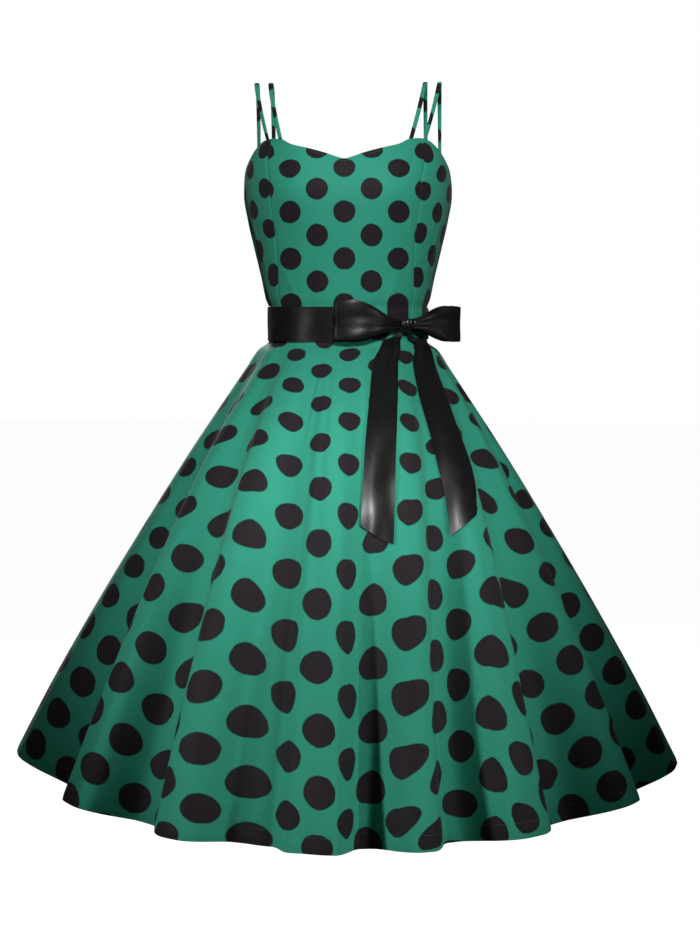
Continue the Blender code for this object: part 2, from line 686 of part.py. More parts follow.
def rod(name, radius, length, centre, mat, sides=16, hidden=False):
    """A round rod along X."""
    bm = bmesh.new()
    bmesh.ops.create_cone(
        bm, cap_ends=True, segments=sides, radius1=radius, radius2=radius, depth=length
    )
    for v in bm.verts:
        x, y, z = v.co
        v.co = Vector((z, x, y)) + Vector(centre)
    bmesh.ops.recalc_face_normals(bm, faces=bm.faces)
    mesh = bpy.data.meshes.new(name)
    bm.to_mesh(mesh)
    bm.free()
    obj = add_object(name, mesh, mat)
    if hidden:
        hide(obj)
    return obj


def hide(obj):
    obj.hide_render = True
    obj.display_type = "WIRE"


def combine(obj, other, operation):
    cut = obj.modifiers.new(operation.lower(), "BOOLEAN")
    cut.operation = operation
    cut.solver = "EXACT"
    cut.object = other


def make_zip_pull(mat):
    """The slider at the top of the closed zip, and the tab that hangs from its pin."""
    z = BACK_EDGE - SLIDER_DROP
    middle = bodice_point(180, z).y + SLIDER_LAY + SLIDER[1] / 2
    metal = mat("zip_slider")
    slider = box("zip_slider", SLIDER, (0, middle, z), metal, bevel=SLIDER_BEVEL)
    radius, length = PULL_BARREL
    back = middle + SLIDER[1] / 2
    pin_y = back + radius + BARREL_LAY
    pin_z = z + PIN_RISE
    lug_size = (LUG_THICK, radius + BARREL_LAY + LUG_NOSE, LUG_HEIGHT)
    for side in (-1, 1):
        x = side * (LUG_INSIDE + LUG_THICK) / 2
        y = back + lug_size[1] / 2 - LUG_ROOT
        lug = box(f"guide_lug_{side}", lug_size, (x, y, pin_z), metal, hidden=True)
        combine(slider, lug, "UNION")
    pin = rod("guide_pin", PIN_RADIUS, LUG_INSIDE + LUG_THICK, (0, pin_y, pin_z), metal, 12, True)
    combine(slider, pin, "UNION")

    paint = mat("zip_pull")
    pull = rod("zip_pull", radius, length, (0, 0, 0), paint)
    tab_middle = (0, 0, -PULL_NECK - PULL_TAB[2] / 2)
    tab = box("guide_tab", PULL_TAB, tab_middle, paint, bevel=PULL_TAB_BEVEL, hidden=True)
    bore = rod("guide_bore", PULL_BORE, LUG_INSIDE, (0, 0, 0), paint, hidden=True)
    neck_size = (length, PULL_TAB[1], PULL_NECK_SIZE)
    neck = box("guide_neck", neck_size, (0, 0, PULL_NECK_LAP - PULL_NECK), paint, hidden=True)
    combine(pull, tab, "UNION")
    combine(pull, neck, "UNION")
    combine(pull, bore, "DIFFERENCE")
    swing = bpy.data.objects.new("zip_pull_axis", None)
    bpy.context.scene.collection.objects.link(swing)
    swing.location = (0, pin_y, pin_z)
    for obj in (pull, tab, bore, neck):
        obj.parent = swing


def main():
    for obj in list(bpy.data.objects):
        bpy.data.objects.remove(obj, do_unlink=True)

    def cloth(name):
        return material(name, GREEN, 0.75)

    def satin(name):
        return material(name, BLACK, 0.35)

    def metal(name):
        return material(name, STEEL, 0.30, 1.0)

    make_bodice(cloth)
    make_skirt(cloth)
    make_straps(cloth)
    make_belt(satin)
    make_knot(satin)
    make_loops(satin)
    make_tails(satin)
    make_zip_tape(cloth)
    make_zip_pull(metal)


main()
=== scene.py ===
"""Looks of a sleeveless swing dress: spotted cotton, double straps, satin ribbon belt with a bow, zip.

Run as a script. Metres, +Z up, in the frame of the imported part: the front faces -Y and +X is the
wearer's left. Angles run round the body in degrees from the front centre, positive towards +X.
"share" is how far down the skirt a place is, from 0 at the waist seam to 1 at the hem.
"""
import math
from functools import partial

import bpy
import numpy as np
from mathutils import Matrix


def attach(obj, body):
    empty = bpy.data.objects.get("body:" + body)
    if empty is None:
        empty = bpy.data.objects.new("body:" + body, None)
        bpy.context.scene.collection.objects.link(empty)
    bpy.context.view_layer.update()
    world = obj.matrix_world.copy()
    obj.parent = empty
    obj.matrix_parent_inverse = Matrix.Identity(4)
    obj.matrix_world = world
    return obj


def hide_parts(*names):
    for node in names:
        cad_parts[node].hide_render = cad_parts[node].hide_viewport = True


bl_info = {
    "name": "Swing dress",
    "version": (1, 0, 0),
    "blender": (4, 5, 0),
    "location": "3D View > Sidebar > Dress",
    "description": "Builds the cloth, ribbon, zip and stitching of a spotted swing dress",
    "category": "Object",
}

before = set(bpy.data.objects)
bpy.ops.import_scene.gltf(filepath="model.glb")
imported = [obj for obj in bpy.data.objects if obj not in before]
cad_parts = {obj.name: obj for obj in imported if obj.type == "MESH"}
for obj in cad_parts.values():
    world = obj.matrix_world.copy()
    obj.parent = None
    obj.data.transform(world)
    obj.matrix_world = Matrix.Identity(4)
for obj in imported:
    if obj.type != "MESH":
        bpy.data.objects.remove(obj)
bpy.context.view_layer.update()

# ---------------------------------------------------------------- the dress's shape
CLOTH = 0.0015
RIBBON = 0.0012
SEAM_GAP = 0.0003
LAY_GAP = 0.0006
WAIST_SEAM = -0.3375
BELT_TOP = -0.3138
BELT_BOTTOM = -0.3618
UNDERARM = -0.150
BACK_EDGE = -0.160

# Bodice outline: height, half width, depth of the front, depth of the back
BODICE = (
    (-0.345, 0.1125, 0.0925, 0.0880), (-0.315, 0.1125, 0.0925, 0.0880),
    (-0.304, 0.1165, 0.0955, 0.0915), (-0.273, 0.1230, 0.1010, 0.0960),
    (-0.233, 0.1325, 0.1100, 0.1040), (-0.193, 0.1415, 0.1200, 0.1100),
    (-0.158, 0.1468, 0.1255, 0.1140), (-0.128, 0.1455, 0.1215, 0.1155),
    (-0.103, 0.1385, 0.1140, 0.1140), (-0.078, 0.1270, 0.1040, 0.1100),
)
SQUARENESS = 0.9
CUP_ANGLE = 29.0
CUP_HEIGHT = -0.150
CUP_SPREAD = (17.0, 0.042)
CUP_RISE = 0.0075

# Top edge: angle, height
TOP_EDGE = (
    (0, -0.1155), (4, -0.1125), (11, -0.1065), (21, -0.1000), (33, -0.0935), (42, -0.0860),
    (52, -0.0840), (60, -0.0860), (66, -0.0925), (72, -0.1035), (78, -0.1190), (84, -0.1360),
    (90, UNDERARM), (104, -0.1570), (125, BACK_EDGE), (180, -0.1620),
)
# Princess seam: height, angle
PRINCESS = (
    (-0.345, 55.0), (-0.300, 53.0), (-0.255, 48.0), (-0.215, 45.0), (-0.155, 44.5), (-0.115, 49.0),
    (-0.080, 52.5),
)

# Skirt outline as distance from the axis and height
SKIRT_SIDE = (
    (0.1125, WAIST_SEAM), (0.1125, -0.3625), (0.1270, -0.3750), (0.1430, -0.4005), (0.1592, -0.4262),
    (0.2155, -0.5160), (0.2745, -0.6155), (0.3450, -0.7385), (0.4080, -0.8555), (0.4570, -0.9560),
)
SKIRT_FRONT = (
    (0.0925, WAIST_SEAM), (0.0925, -0.3625), (0.1120, -0.3795), (0.1650, -0.4185), (0.2130, -0.4625),
    (0.2540, -0.5165), (0.2870, -0.5775), (0.3130, -0.6445), (0.3370, -0.7195), (0.3590, -0.7935),
    (0.3800, -0.8685), (0.3960, -0.9360), (0.4030, -0.9810),
)
BACK_SHARE = 0.97
HEM_LIFT = (-66.0, 20.0, 0.011)

# Folds, crest and trough in turn: angle at the waist, angle at the hem, rise at the hem, start
FOLDS = (
    (-172, -172, 0.013, 0.06), (-163, -163, -0.013, 0.06), (-153, -152, 0.015, 0.04),
    (-143, -142, -0.014, 0.06), (-133, -131, 0.016, 0.03), (-122, -121, -0.016, 0.04),
    (-111, -110, 0.015, 0.05), (-100, -98, -0.014, 0.04), (-84, -76, 0.0135, 0.03),
    (-70, -57, -0.017, 0.03), (-55, -47, 0.017, 0.03), (-44, -36, -0.018, 0.04),
    (-34, -25.5, 0.015, 0.04), (-15, -16, -0.013, 0.05), (-11.5, -11, -0.0105, 0.10),
    (-7, -6.2, 0.0085, 0.10), (-3.0, 0.0, 0.013, 0.03), (13.0, 4.7, -0.013, 0.05),
    (34, 14.6, 0.013, 0.04), (47, 20, -0.017, 0.03), (59, 31.5, 0.016, 0.03),
    (68, 42, -0.017, 0.04), (78, 53.5, 0.016, 0.04), (84, 63, -0.015, 0.05),
    (90, 76, 0.012, 0.03), (98, 97, -0.014, 0.04), (108, 108, 0.015, 0.05),
    (118, 119, -0.016, 0.03), (129, 130, 0.014, 0.04), (140, 141, -0.015, 0.05),
    (150, 151, 0.016, 0.03), (161, 161, -0.013, 0.06), (171, 171, 0.013, 0.06),
    (180, 180, -0.011, 0.08),
)
SKIRT_DROP = 0.72           # length down the skirt along its surface, near enough for the hem's depth
FOLD_TURN = 2
FOLD_DEPTH = 1.65
FOLD_GROWTH = 1.1
FOLD_FLANK = 1.25
TROUGH = 1.25               # how much deeper the troughs of the shown cloth are

# Small creases of the skirt: angle at the hem, share of their middle, half breadth
# in degrees, half length as a share, rise
SKIRT_CREASES = (
    (-68, 0.62, 2.2, 0.30, 0.0016), (-52, 0.35, 1.6, 0.20, -0.0013), (-41, 0.78, 1.8, 0.22, 0.0014),
    (-31, 0.46, 1.5, 0.24, -0.0014), (-20.5, 0.22, 1.5, 0.13, 0.0014), (-21, 0.80, 1.6, 0.20, 0.0012),
    (-13.5, 0.17, 1.2, 0.10, -0.0011), (-8.5, 0.62, 1.2, 0.24, -0.0010), (-3.0, 0.33, 1.2, 0.18, 0.0010),
    (2.4, 0.74, 1.1, 0.20, 0.0012), (26, 0.72, 1.7, 0.20, -0.0012), (36.5, 0.66, 1.6, 0.22, 0.0013),
    (48, 0.34, 1.6, 0.20, -0.0014), (57, 0.75, 1.8, 0.20, 0.0015), (69, 0.50, 2.0, 0.26, -0.0015),
    (84, 0.70, 2.2, 0.24, 0.0014), (103, 0.40, 2.0, 0.24, -0.0015), (113, 0.74, 2.0, 0.22, 0.0014),
    (125, 0.36, 2.0, 0.22, 0.0014), (136, 0.70, 1.9, 0.24, -0.0013), (146, 0.30, 1.8, 0.18, 0.0013),
    (156, 0.76, 1.9, 0.22, 0.0014), (167, 0.42, 1.9, 0.24, -0.0013), (-167, 0.66, 1.9, 0.24, 0.0014),
    (-158, 0.34, 1.9, 0.20, -0.0013), (-147, 0.74, 1.9, 0.22, 0.0014), (-136, 0.40, 1.9, 0.22, 0.0013),
    (-126, 0.72, 2.0, 0.24, -0.0014), (-115, 0.36, 2.0, 0.20, 0.0014), (-104, 0.66, 2.1, 0.24, -0.0014),
    (-91, 0.42, 2.0, 0.24, 0.0014),
)
# Drag lines of the bodice: angle, height, half length, half breadth in metres, lean in degrees from
# upright, rise
BODICE_CREASES = (
    (-38, -0.288, 0.030, 0.0050, -18, 0.0011), (-24, -0.296, 0.026, 0.0045, 8, -0.0008),
    (-5, -0.292, 0.028, 0.0050, -6, 0.0007), (14, -0.297, 0.024, 0.0045, 10, -0.0008),
    (33, -0.290, 0.030, 0.0050, 16, 0.0010), (-44, -0.190, 0.030, 0.0045, 24, -0.0009),
    (40, -0.196, 0.034, 0.0045, -14, 0.0010), (36, -0.128, 0.026, 0.0050, 30, -0.0008),
    (-35, -0.124, 0.028, 0.0050, -28, -0.0009), (66, -0.230, 0.036, 0.0055, 8, 0.0011),
    (-66, -0.225, 0.036, 0.0055, -10, 0.0012), (78, -0.288, 0.026, 0.0050, 18, -0.0010),
    (-76, -0.286, 0.028, 0.0050, -20, -0.0010), (104, -0.284, 0.030, 0.0055, -22, 0.0011),
    (-104, -0.287, 0.030, 0.0055, 24, 0.0011), (122, -0.245, 0.034, 0.0055, -14, -0.0010),
    (-124, -0.240, 0.034, 0.0055, 14, -0.0010), (140, -0.292, 0.026, 0.0050, 12, 0.0010),
    (-142, -0.290, 0.026, 0.0050, -12, 0.0010), (158, -0.262, 0.036, 0.0055, 10, -0.0009),
    (-160, -0.266, 0.036, 0.0055, -10, -0.0009), (112, -0.190, 0.028, 0.0055, 34, 0.0009),
    (-113, -0.192, 0.028, 0.0055, -34, 0.0009),
)

# How deep and how broad the cloth rolls in at a seam, and how deep at the hem
BODICE_ROLL = (0.0007, 0.0016)
SKIRT_ROLL = (0.0008, 0.0022)
HEM_ROLL = 0.0008

# Straps: angle of the front foot, reach at the shoulder, angle of the back foot
STRAPS = {"inner": (44.0, 0.1085, 130.0), "outer": (57.5, 0.1285, 115.0)}
STRAP_WIDTH = 0.0062
STRAP_THICK = 0.0016
STRAP_TUCK = 0.012
STRAP_LAY = 0.0009
STRAP_CROWN = 0.002
STRAP_LEAD = (0.75, 0.42)
STRAP_CLIMB = {"front": 0.62, "back": 0.75}
STRAP_ROUND = 0.40
BAND_SIDES = 12
# Where the print starts along each strap, in rows
STRAP_PRINT = {("inner", 1): 0.1, ("outer", 1): 1.2, ("inner", -1): 0.7, ("outer", -1): 0.35}
STRAP_PRINT_SCALE = 0.86

# Ribbon
KNOT_ANGLE = 43.7
KNOT_SIZE = (0.0215, 0.0130, 0.0170)
KNOT_MIDDLE = -0.3385
BELT_HALF = (BELT_TOP - BELT_BOTTOM) / 2
BELT_NECK = 0.0075
BELT_GATHER = (62.0, 34.0)
BELT_RAISE = 0.0022
BELT_ENTRY = 3.0
LOOP_HALF = 0.0245
LOOP_NECK = 0.0062
LOOP_WIDE_AT = 0.85
LOOP_BEND = 0.055
LOOP_SPACE = (0.0016, 0.72)
# "swell" is how far a loop's two layers part, "climb" how far its far end rises, "edges" how much
# further than half the ribbon's width the upper and the lower edge stand out there, and "bend" how far
# the upper edge arches. The left loop stands out in the air; the right one lies along the waist.
LEFT_LOOP = {
    "length": 0.0704, "lean": (0.90, 0.43, 0.0), "turn": 0.65, "swell": 0.0085, "climb": 0.001,
    "edges": (-0.0010, 0.0005), "bend": 0.0030,
}
LEFT_ROOT = (0.0004, 0.001)
RIGHT_LOOP = {
    "from": 8.0, "swing": 40.0, "stand": 0.0012, "swell": 0.0060, "climb": 0.0045,
    "edges": (0.0030, -0.0005), "bend": 0.0060,
}
# Tails: "top" has angle, height and half width of the stations under the knot; "from" and "to" are
# shares of the skirt; "route" has run, angle and half width
TAIL_CLEAR = 0.0008
TAIL_HALF = 0.021
TAIL_STEPS = 6
TAIL_RIGHT = {
    "top": ((40.8, -0.3480, 0.0038), (36.5, -0.3560, 0.0080)),
    "from": 0.045, "to": 0.466, "slant": 0.019, "lift": 0.0085,
    "route": ((0.0, 31.5, 0.0120), (0.12, 23.5, 0.0172), (0.31, 18.7, 0.0190), (0.60, 14.0, 0.0207),
              (0.80, 12.0, 0.0210), (1.0, 10.4, 0.0210)),
}
TAIL_LEFT = {
    "top": ((46.8, -0.3480, 0.0034), (50.5, -0.3560, 0.0062)),
    "from": 0.045, "to": 0.450, "slant": -0.016, "lift": 0.0085,
    "route": ((0.0, 56.0, 0.0100), (0.12, 49.0, 0.0195), (0.30, 44.7, 0.0235), (0.60, 41.4, 0.0240),
              (0.80, 39.4, 0.0235), (1.0, 36.0, 0.0210)),
}

# Zip
ZIP_HALF = 0.012
ZIP_LAY = 0.0015
ZIP_TOP = 0.004
ZIP_END = 0.20
COIL_SIZE = (0.0042, 0.0014)    # across and out
COIL_STAND = 0.0010
STITCH_STAND = 0.0007           # zip stitches, off the tape's inside
STITCH_SINK = 0.00005           # how deep a stitch beds into the cloth

# ---------------------------------------------------------------- the print
# Places on the cloth are counted in columns and rows of spots. Every second place holds a spot.
BODICE_COLUMN = 0.0369      # metres from column to column on the bodice
BODICE_ROW = 0.03075
SPOT_SQUASH = 0.836         # row pitch against column pitch
BODICE_SPOT = 0.4065        # radius in columns
FAN = 1.67                  # angle of the skirt front's flat sector
FAN_START = 0.325 / FAN     # radius of the flat sector at the waist
# Row and radius in columns of the skirt's spots
SKIRT_SPOTS = ((-6, 0.390), (-3, 0.382), (0, 0.385), (3, 0.405), (6, 0.430), (9, 0.450), (13, 0.465))
SKIRT_COLUMN = 0.0430
# Heights of the bodice front's rows of spots, from row 0
FRONT_ROWS = (-0.1037, -0.1257, -0.1554, -0.1856, -0.2170, -0.2483, -0.2792, -0.3101)
SIDE_ROWS = {1: (-0.1050, -0.1320, -0.1550, -0.1860, -0.2120, -0.2440, -0.2730, -0.3030),
             -1: (-0.0986, -0.1248, -0.1517, -0.1815, -0.2057, -0.2355, -0.2714, -0.3020)}
# Columns of spots on the skirt front: depth down the flat sector, place across it
SKIRT_COLUMNS = {
    -5: ((0.47, -0.223), (0.53, -0.220), (0.60, -0.2285)),
    -4: ((0.38, -0.176), (0.43, -0.1705), (0.51, -0.169), (0.60, -0.160), (0.80, -0.180), (0.885, -0.180)),
    -3: ((0.37, -0.111), (0.455, -0.107), (0.53, -0.110), (0.61, -0.115), (0.77, -0.115), (0.845, -0.118),
         (0.914, -0.120)),
    -2: ((0.24, -0.0752), (0.30, -0.0683), (0.37, -0.0643), (0.43, -0.0643), (0.50, -0.0639),
         (0.58, -0.0653), (0.66, -0.0673), (0.74, -0.0682), (0.82, -0.0558), (0.90, -0.0565)),
    -1: ((0.28, -0.0315), (0.345, -0.0269), (0.41, -0.0246), (0.48, -0.0212), (0.56, -0.0202),
         (0.72, -0.0202), (0.795, -0.0171), (0.87, -0.0161), (0.935, -0.020)),
    0: ((0.245, 0.0067), (0.31, 0.0092), (0.38, 0.0106), (0.44, 0.0117), (0.515, 0.0132), (0.59, 0.0140),
        (0.67, 0.0159), (0.75, 0.022), (0.83, 0.0237)),
    1: ((0.62, 0.0505), (0.70, 0.0565), (0.776, 0.0617), (0.85, 0.0630), (0.92, 0.0598)),
    2: ((0.58, 0.0888), (0.66, 0.0956), (0.74, 0.1023), (0.815, 0.1043), (0.89, 0.1056)),
    3: ((0.51, 0.1344), (0.595, 0.1454), (0.68, 0.1600), (0.767, 0.1735), (0.85, 0.167), (0.92, 0.152)),
    4: ((0.54, 0.1654), (0.62, 0.1734), (0.70, 0.1845), (0.79, 0.2051), (0.87, 0.2185)),
    5: ((0.57, 0.2177), (0.655, 0.2202), (0.74, 0.2340), (0.817, 0.2519), (0.883, 0.2689)),
    6: ((0.78, 0.2774), (0.864, 0.2962)),
}
# Row and depth down the flat sector
SKIRT_ROWS = (
    (-8, 0.1500), (-5, 0.2456), (-4, 0.2770), (-3, 0.3125), (-2, 0.3448), (-1, 0.3782), (0, 0.4128),
    (1, 0.4442), (2, 0.4817), (3, 0.5153), (4, 0.5564), (5, 0.5911), (6, 0.6350), (7, 0.6712),
    (8, 0.7157), (9, 0.7495), (10, 0.7952), (11, 0.8273), (12, 0.8696), (13, 0.9030), (14, 0.9350),
    (17, 1.0400),
)
# Column, and how much lower than its row its spots lie
ROW_SHIFT = (
    (-5, -0.030), (-4, -0.030), (-3, -0.027), (-2, -0.0115), (-1, 0.0), (0, 0.0), (1, -0.0185),
    (2, -0.012), (3, -0.035), (4, -0.045), (5, -0.057), (6, -0.045),
)
# Wrong side of the cloth: a paler colour, how much of it shows, and how much of the spots is hidden
WRONG_SIDE_PALE = (0.20, 0.42, 0.32)
WRONG_SIDE_FADE = 0.28
WRONG_SIDE_HIDE = 0.55

# ---------------------------------------------------------------- the stage
# Lights: place, what they aim at, size, the setting with their power, and a spot light's beam in degrees
LIGHTS = {
    "key": ((0.14, -1.22, 0.22), (0.0, -0.1, -0.20), 0.11, "key", 62.0),
    "cross_right": ((-1.75, -1.45, -0.25), (0.30, -0.33, -0.78), 0.12, "low", 30.0),
    "cross_left": ((1.75, -1.45, -0.25), (-0.30, -0.33, -0.78), 0.12, "low", 30.0),
    "fill": ((-2.6, -2.4, 0.5), (0.0, 0.0, -0.55), 2.2, "fill", None),
    "back": ((-0.7, 2.7, 0.7), (0.0, 0.0, -0.5), 1.0, "back", None),
}
CAMERA_TURN = 2.5           # degrees to the wearer's left of the front
CAMERA_HEIGHT = -0.3045
CAMERA_TILT = 5.435         # degrees below level
CAMERA_LENS = 67.524        # millimetres on a 36 mm sensor
CAMERA_SHIFT = 0.00214
FLOOR_REACH = 14.0


# ---------------------------------------------------------------- shape
def curve(points):
    """A smooth line through (x, y) points that never overshoots them, for whole arrays."""
    xs, ys = np.array(points, float).T
    rise = np.diff(ys) / np.diff(xs)
    slope = np.concatenate([rise[:1], np.zeros(len(xs) - 2), rise[-1:]])
    before, after = rise[:-1], rise[1:]
    together = before * after > 0
    slope[1:-1][together] = 2 * before[together] * after[together] / (before + after)[together]

    def value(x):
        x = np.clip(np.asarray(x, float), xs[0], xs[-1])
        k = np.clip(np.searchsorted(xs, x, side="right") - 1, 0, len(xs) - 2)
        h = xs[k + 1] - xs[k]
        t = (x - xs[k]) / h
        return (
            ys[k] * (1 + 2 * t) * (1 - t) ** 2
            + slope[k] * h * t * (1 - t) ** 2
            + ys[k + 1] * t * t * (3 - 2 * t)
            - slope[k + 1] * h * t * t * (1 - t)
        )

    return value


def along(points):
    """Both coordinates of an outline as smooth functions of the share of its length."""
    lengths = np.concatenate([[0.0], np.cumsum([math.dist(a, b) for a, b in zip(points, points[1:])])])
    shares = lengths / lengths[-1]
    return (
        curve(list(zip(shares, [p[0] for p in points]))),
        curve(list(zip(shares, [p[1] for p in points]))),
    )


half_width = curve([(row[0], row[1]) for row in BODICE])
front_depth = curve([(row[0], row[2]) for row in BODICE])
back_depth = curve([(row[0], row[3]) for row in BODICE])
top_edge = curve(TOP_EDGE)
princess = curve(PRINCESS)
side_reach, side_height = along(SKIRT_SIDE)
front_reach, front_height = along(SKIRT_FRONT)
FOLD_TABLE = np.array(
    [(FOLDS[-1][0] - 360, FOLDS[-1][1] - 360, *FOLDS[-1][2:]), *FOLDS,
     (FOLDS[0][0] + 360, FOLDS[0][1] + 360, *FOLDS[0][2:])], float
)


def unit(v):
    """Vectors of length one."""
    return v / np.maximum(np.linalg.norm(v, axis=-1, keepdims=True), 1e-12)


def smooth(t):
    """An even rise from 0 to 1."""
    t = np.clip(t, 0.0, 1.0)
    return t * t * (3 - 2 * t)


def vec(*parts):
    """Arrays side by side as the coordinates of points."""
    return np.stack(np.broadcast_arrays(*[np.asarray(p, float) for p in parts]), -1)


def bodice_point(angle, z):
    """A point of the bodice's outer face."""
    angle, z = np.broadcast_arrays(np.asarray(angle, float), np.asarray(z, float))
    a = np.radians(angle)
    c = np.cos(a)
    across = (np.abs(angle) - CUP_ANGLE) / CUP_SPREAD[0]
    up = (z - CUP_HEIGHT) / CUP_SPREAD[1]
    cup = CUP_RISE * np.exp(-across * across - up * up)
    depth = np.where(c > 0, front_depth(z) + cup, back_depth(z))
    reach = np.sign(c) * np.abs(c) ** SQUARENESS
    return vec(half_width(z) * np.sin(a), -depth * reach, z)


def fold_rise(angle, share):
    """How far the folds move the skirt outwards; the shown cloth sinks a little deeper in the troughs."""
    s = share[..., None]
    waist, hem, rise, start = FOLD_TABLE.T
    at = hem + (waist - hem) * (1 - s) ** FOLD_TURN
    grown = rise * FOLD_DEPTH * np.clip((s - start) / (1 - start), 0, None) ** FOLD_GROWTH
    k = np.clip((at <= angle[..., None]).sum(-1) - 1, 0, at.shape[-1] - 2)[..., None]
    ends = ((at, k), (at, k + 1), (grown, k), (grown, k + 1))
    a0, a1, r0, r1 = (np.take_along_axis(table, j, -1)[..., 0] for table, j in ends)
    across = np.clip(0.5 + FOLD_FLANK * ((angle - a0) / (a1 - a0) - 0.5), 0, 1)
    rise = r0 + (r1 - r0) * (1 - np.cos(np.pi * across)) / 2
    return np.where(rise < 0, rise * TROUGH, rise)


def skirt_base(angle, share):
    """The skirt's outer face before its folds."""
    a = np.radians(angle)
    s, c = np.sin(a), np.cos(a)
    depth = front_reach(share)
    depth = np.where(c < 0, BODICE[0][3] + (depth - SKIRT_FRONT[0][0]) * BACK_SHARE, depth)
    where, spread, lift = HEM_LIFT
    z = side_height(share) * s * s + front_height(share) * c * c
    z = z + lift * share * np.exp(-(((angle - where) / spread) ** 2))
    return vec(side_reach(share) * s, -depth * c, z)


def facing(point_at, u, v, du, dv):
    """The outward direction of a face given as a function of two numbers."""
    across = point_at(u + du, v) - point_at(u - du, v)
    down = point_at(u, v + dv) - point_at(u, v - dv)
    return unit(np.cross(down, across))


def skirt_point(angle, share):
    """A point of the skirt's outer face, folds and all."""
    angle, share = np.broadcast_arrays(np.asarray(angle, float), np.clip(np.asarray(share, float), 0, 1))
    out = facing(skirt_base, angle, np.clip(share, 0.01, 0.99), 0.5, 0.01)
    return skirt_base(angle, share) + out * fold_rise((angle + 180) % 360 - 180, share)[..., None]


def bodice_facing(angle, z):
    """The outward direction of the bodice."""
    return facing(lambda u, v: bodice_point(u, -v), np.asarray(angle, float), -np.asarray(z, float), 0.5, 0.003)


def skirt_facing(angle, share):
    """The outward direction of the folded skirt."""
    return facing(skirt_point, np.asarray(angle, float), np.clip(share, 0.006, 0.994), 0.4, 0.006)


def waist_facing(angle):
    """The outward direction at the waist."""
    return bodice_facing(angle, WAIST_SEAM + 0.004)


def belt_point(angle, z, off):
    """A point outside the waist, off the dress by a distance."""
    flat = bodice_point(angle, WAIST_SEAM) * np.array([1.0, 1.0, 0.0])
    return flat + vec(0, 0, z) + waist_facing(angle) * np.asarray(off, float)[..., None]


def grid_facing(points):
    """Outward directions of a grid whose rows run down and whose columns run towards +angle."""
    return unit(np.cross(np.gradient(points, axis=0), np.gradient(points, axis=1)))


# ---------------------------------------------------------------- meshes
def shell(name, outer, out, thick, cloth_map, chart=None, materials=(), body="root", sharp=38.0):
    """A thin closed sheet from a grid of points on its outer face, with a rounded rim."""
    high, wide = outer.shape[:2]
    thick = np.broadcast_to(np.asarray(thick, float), (high, wide))[..., None]
    inner = outer - out * thick
    index = np.arange(high * wide).reshape(high, wide)
    rim = [(0, i) for i in range(wide)] + [(j, wide - 1) for j in range(1, high)]
    rim += [(high - 1, i) for i in range(wide - 2, -1, -1)] + [(j, 0) for j in range(high - 2, 0, -1)]
    rj, ri = np.array(rim).T
    inside = outer[np.clip(rj, 1, high - 2), np.clip(ri, 1, wide - 2)]
    away = outer[rj, ri] - inside
    away = unit(away - out[rj, ri] * (away * out[rj, ri]).sum(-1, keepdims=True))
    middle = (outer[rj, ri] + inner[rj, ri]) / 2 + away * thick[rj, ri] * 0.35
    points = np.concatenate([outer.reshape(-1, 3), inner.reshape(-1, 3), middle])
    count = high * wide
    a, b, c, d = index[:-1, :-1], index[1:, :-1], index[1:, 1:], index[:-1, 1:]
    front = np.stack([a, b, c, d], -1).reshape(-1, 4)
    back = front[:, ::-1] + count
    edge = index[rj, ri]
    follow = np.roll(edge, -1)
    mid = 2 * count + np.arange(len(rim))
    mid_follow = np.roll(mid, -1)
    sides = np.concatenate([
        np.stack([edge, follow, mid_follow, mid], -1),
        np.stack([mid, mid_follow, follow + count, edge + count], -1),
    ])
    faces = np.concatenate([front, back, sides])
    across = outer[0, 1] - outer[0, 0]
    down = outer[1, 0] - outer[0, 0]
    if np.dot(np.cross(down, across), out[0, 0]) < 0:
        faces = faces[:, ::-1]
    mesh = bpy.data.meshes.new(name)
    mesh.from_pydata(points.tolist(), [], faces.tolist())
    flat = cloth_map.reshape(-1, 2)
    spread = np.concatenate([flat, flat, flat[edge]])
    layer = mesh.uv_layers.new(name="UVMap")
    layer.data.foreach_set("uv", spread[faces.ravel()].astype(np.float32).ravel())
    if chart is not None:
        places = chart.reshape(-1, 3)
        places = np.concatenate([places, places, places[edge]]).astype(np.float32)
        mesh.attributes.new("spots", "FLOAT_VECTOR", "POINT").data.foreach_set("vector", places.ravel())
    for mat in materials:
        mesh.materials.append(mat)
    if len(materials) > 1:
        kinds = np.zeros(len(faces), np.int32)
        kinds[len(front):2 * len(front)] = 1
        mesh.polygons.foreach_set("material_index", kinds)
    mesh.update()
    mesh.shade_smooth()
    mesh.set_sharp_from_angle(angle=math.radians(sharp))
    return place(name, mesh, body)


def place(name, mesh, body):
    """An object at the origin that rides on a body."""
    obj = bpy.data.objects.new(name, mesh)
    bpy.context.scene.collection.objects.link(obj)
    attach(obj, body)
    return obj


def edge_steps(count, width, close=(0.0007, 0.0016, 0.0032)):
    """Shares across a piece, evenly spread but closer together at both edges."""
    near = [c / width for c in close]
    middle = np.linspace(near[-1], 1 - near[-1], count)[1:-1]
    return np.array([0.0, *near, *middle, *[1 - n for n in near[::-1]], 1.0])


def lengths(points, axis):
    """Running length along one axis of a grid of points."""
    step = np.linalg.norm(np.diff(points, axis=axis), axis=-1)
    first = np.zeros_like(np.take(step, [0], axis))
    return np.concatenate([first, np.cumsum(step, axis)], axis)


# ---------------------------------------------------------------- materials
def feed(tree, socket, value):
    """Link a socket, or set a plain value."""
    if isinstance(value, bpy.types.NodeSocket):
        tree.links.new(value, socket)
    else:
        socket.default_value = value


def node(tree, kind, inputs=(), **settings):
    """A node with its properties set and its inputs fed by name or number."""
    made = tree.nodes.new(kind)
    for key, value in settings.items():
        setattr(made, key, value)
    for key, value in dict(inputs).items():
        feed(tree, made.inputs[key], value)
    return made


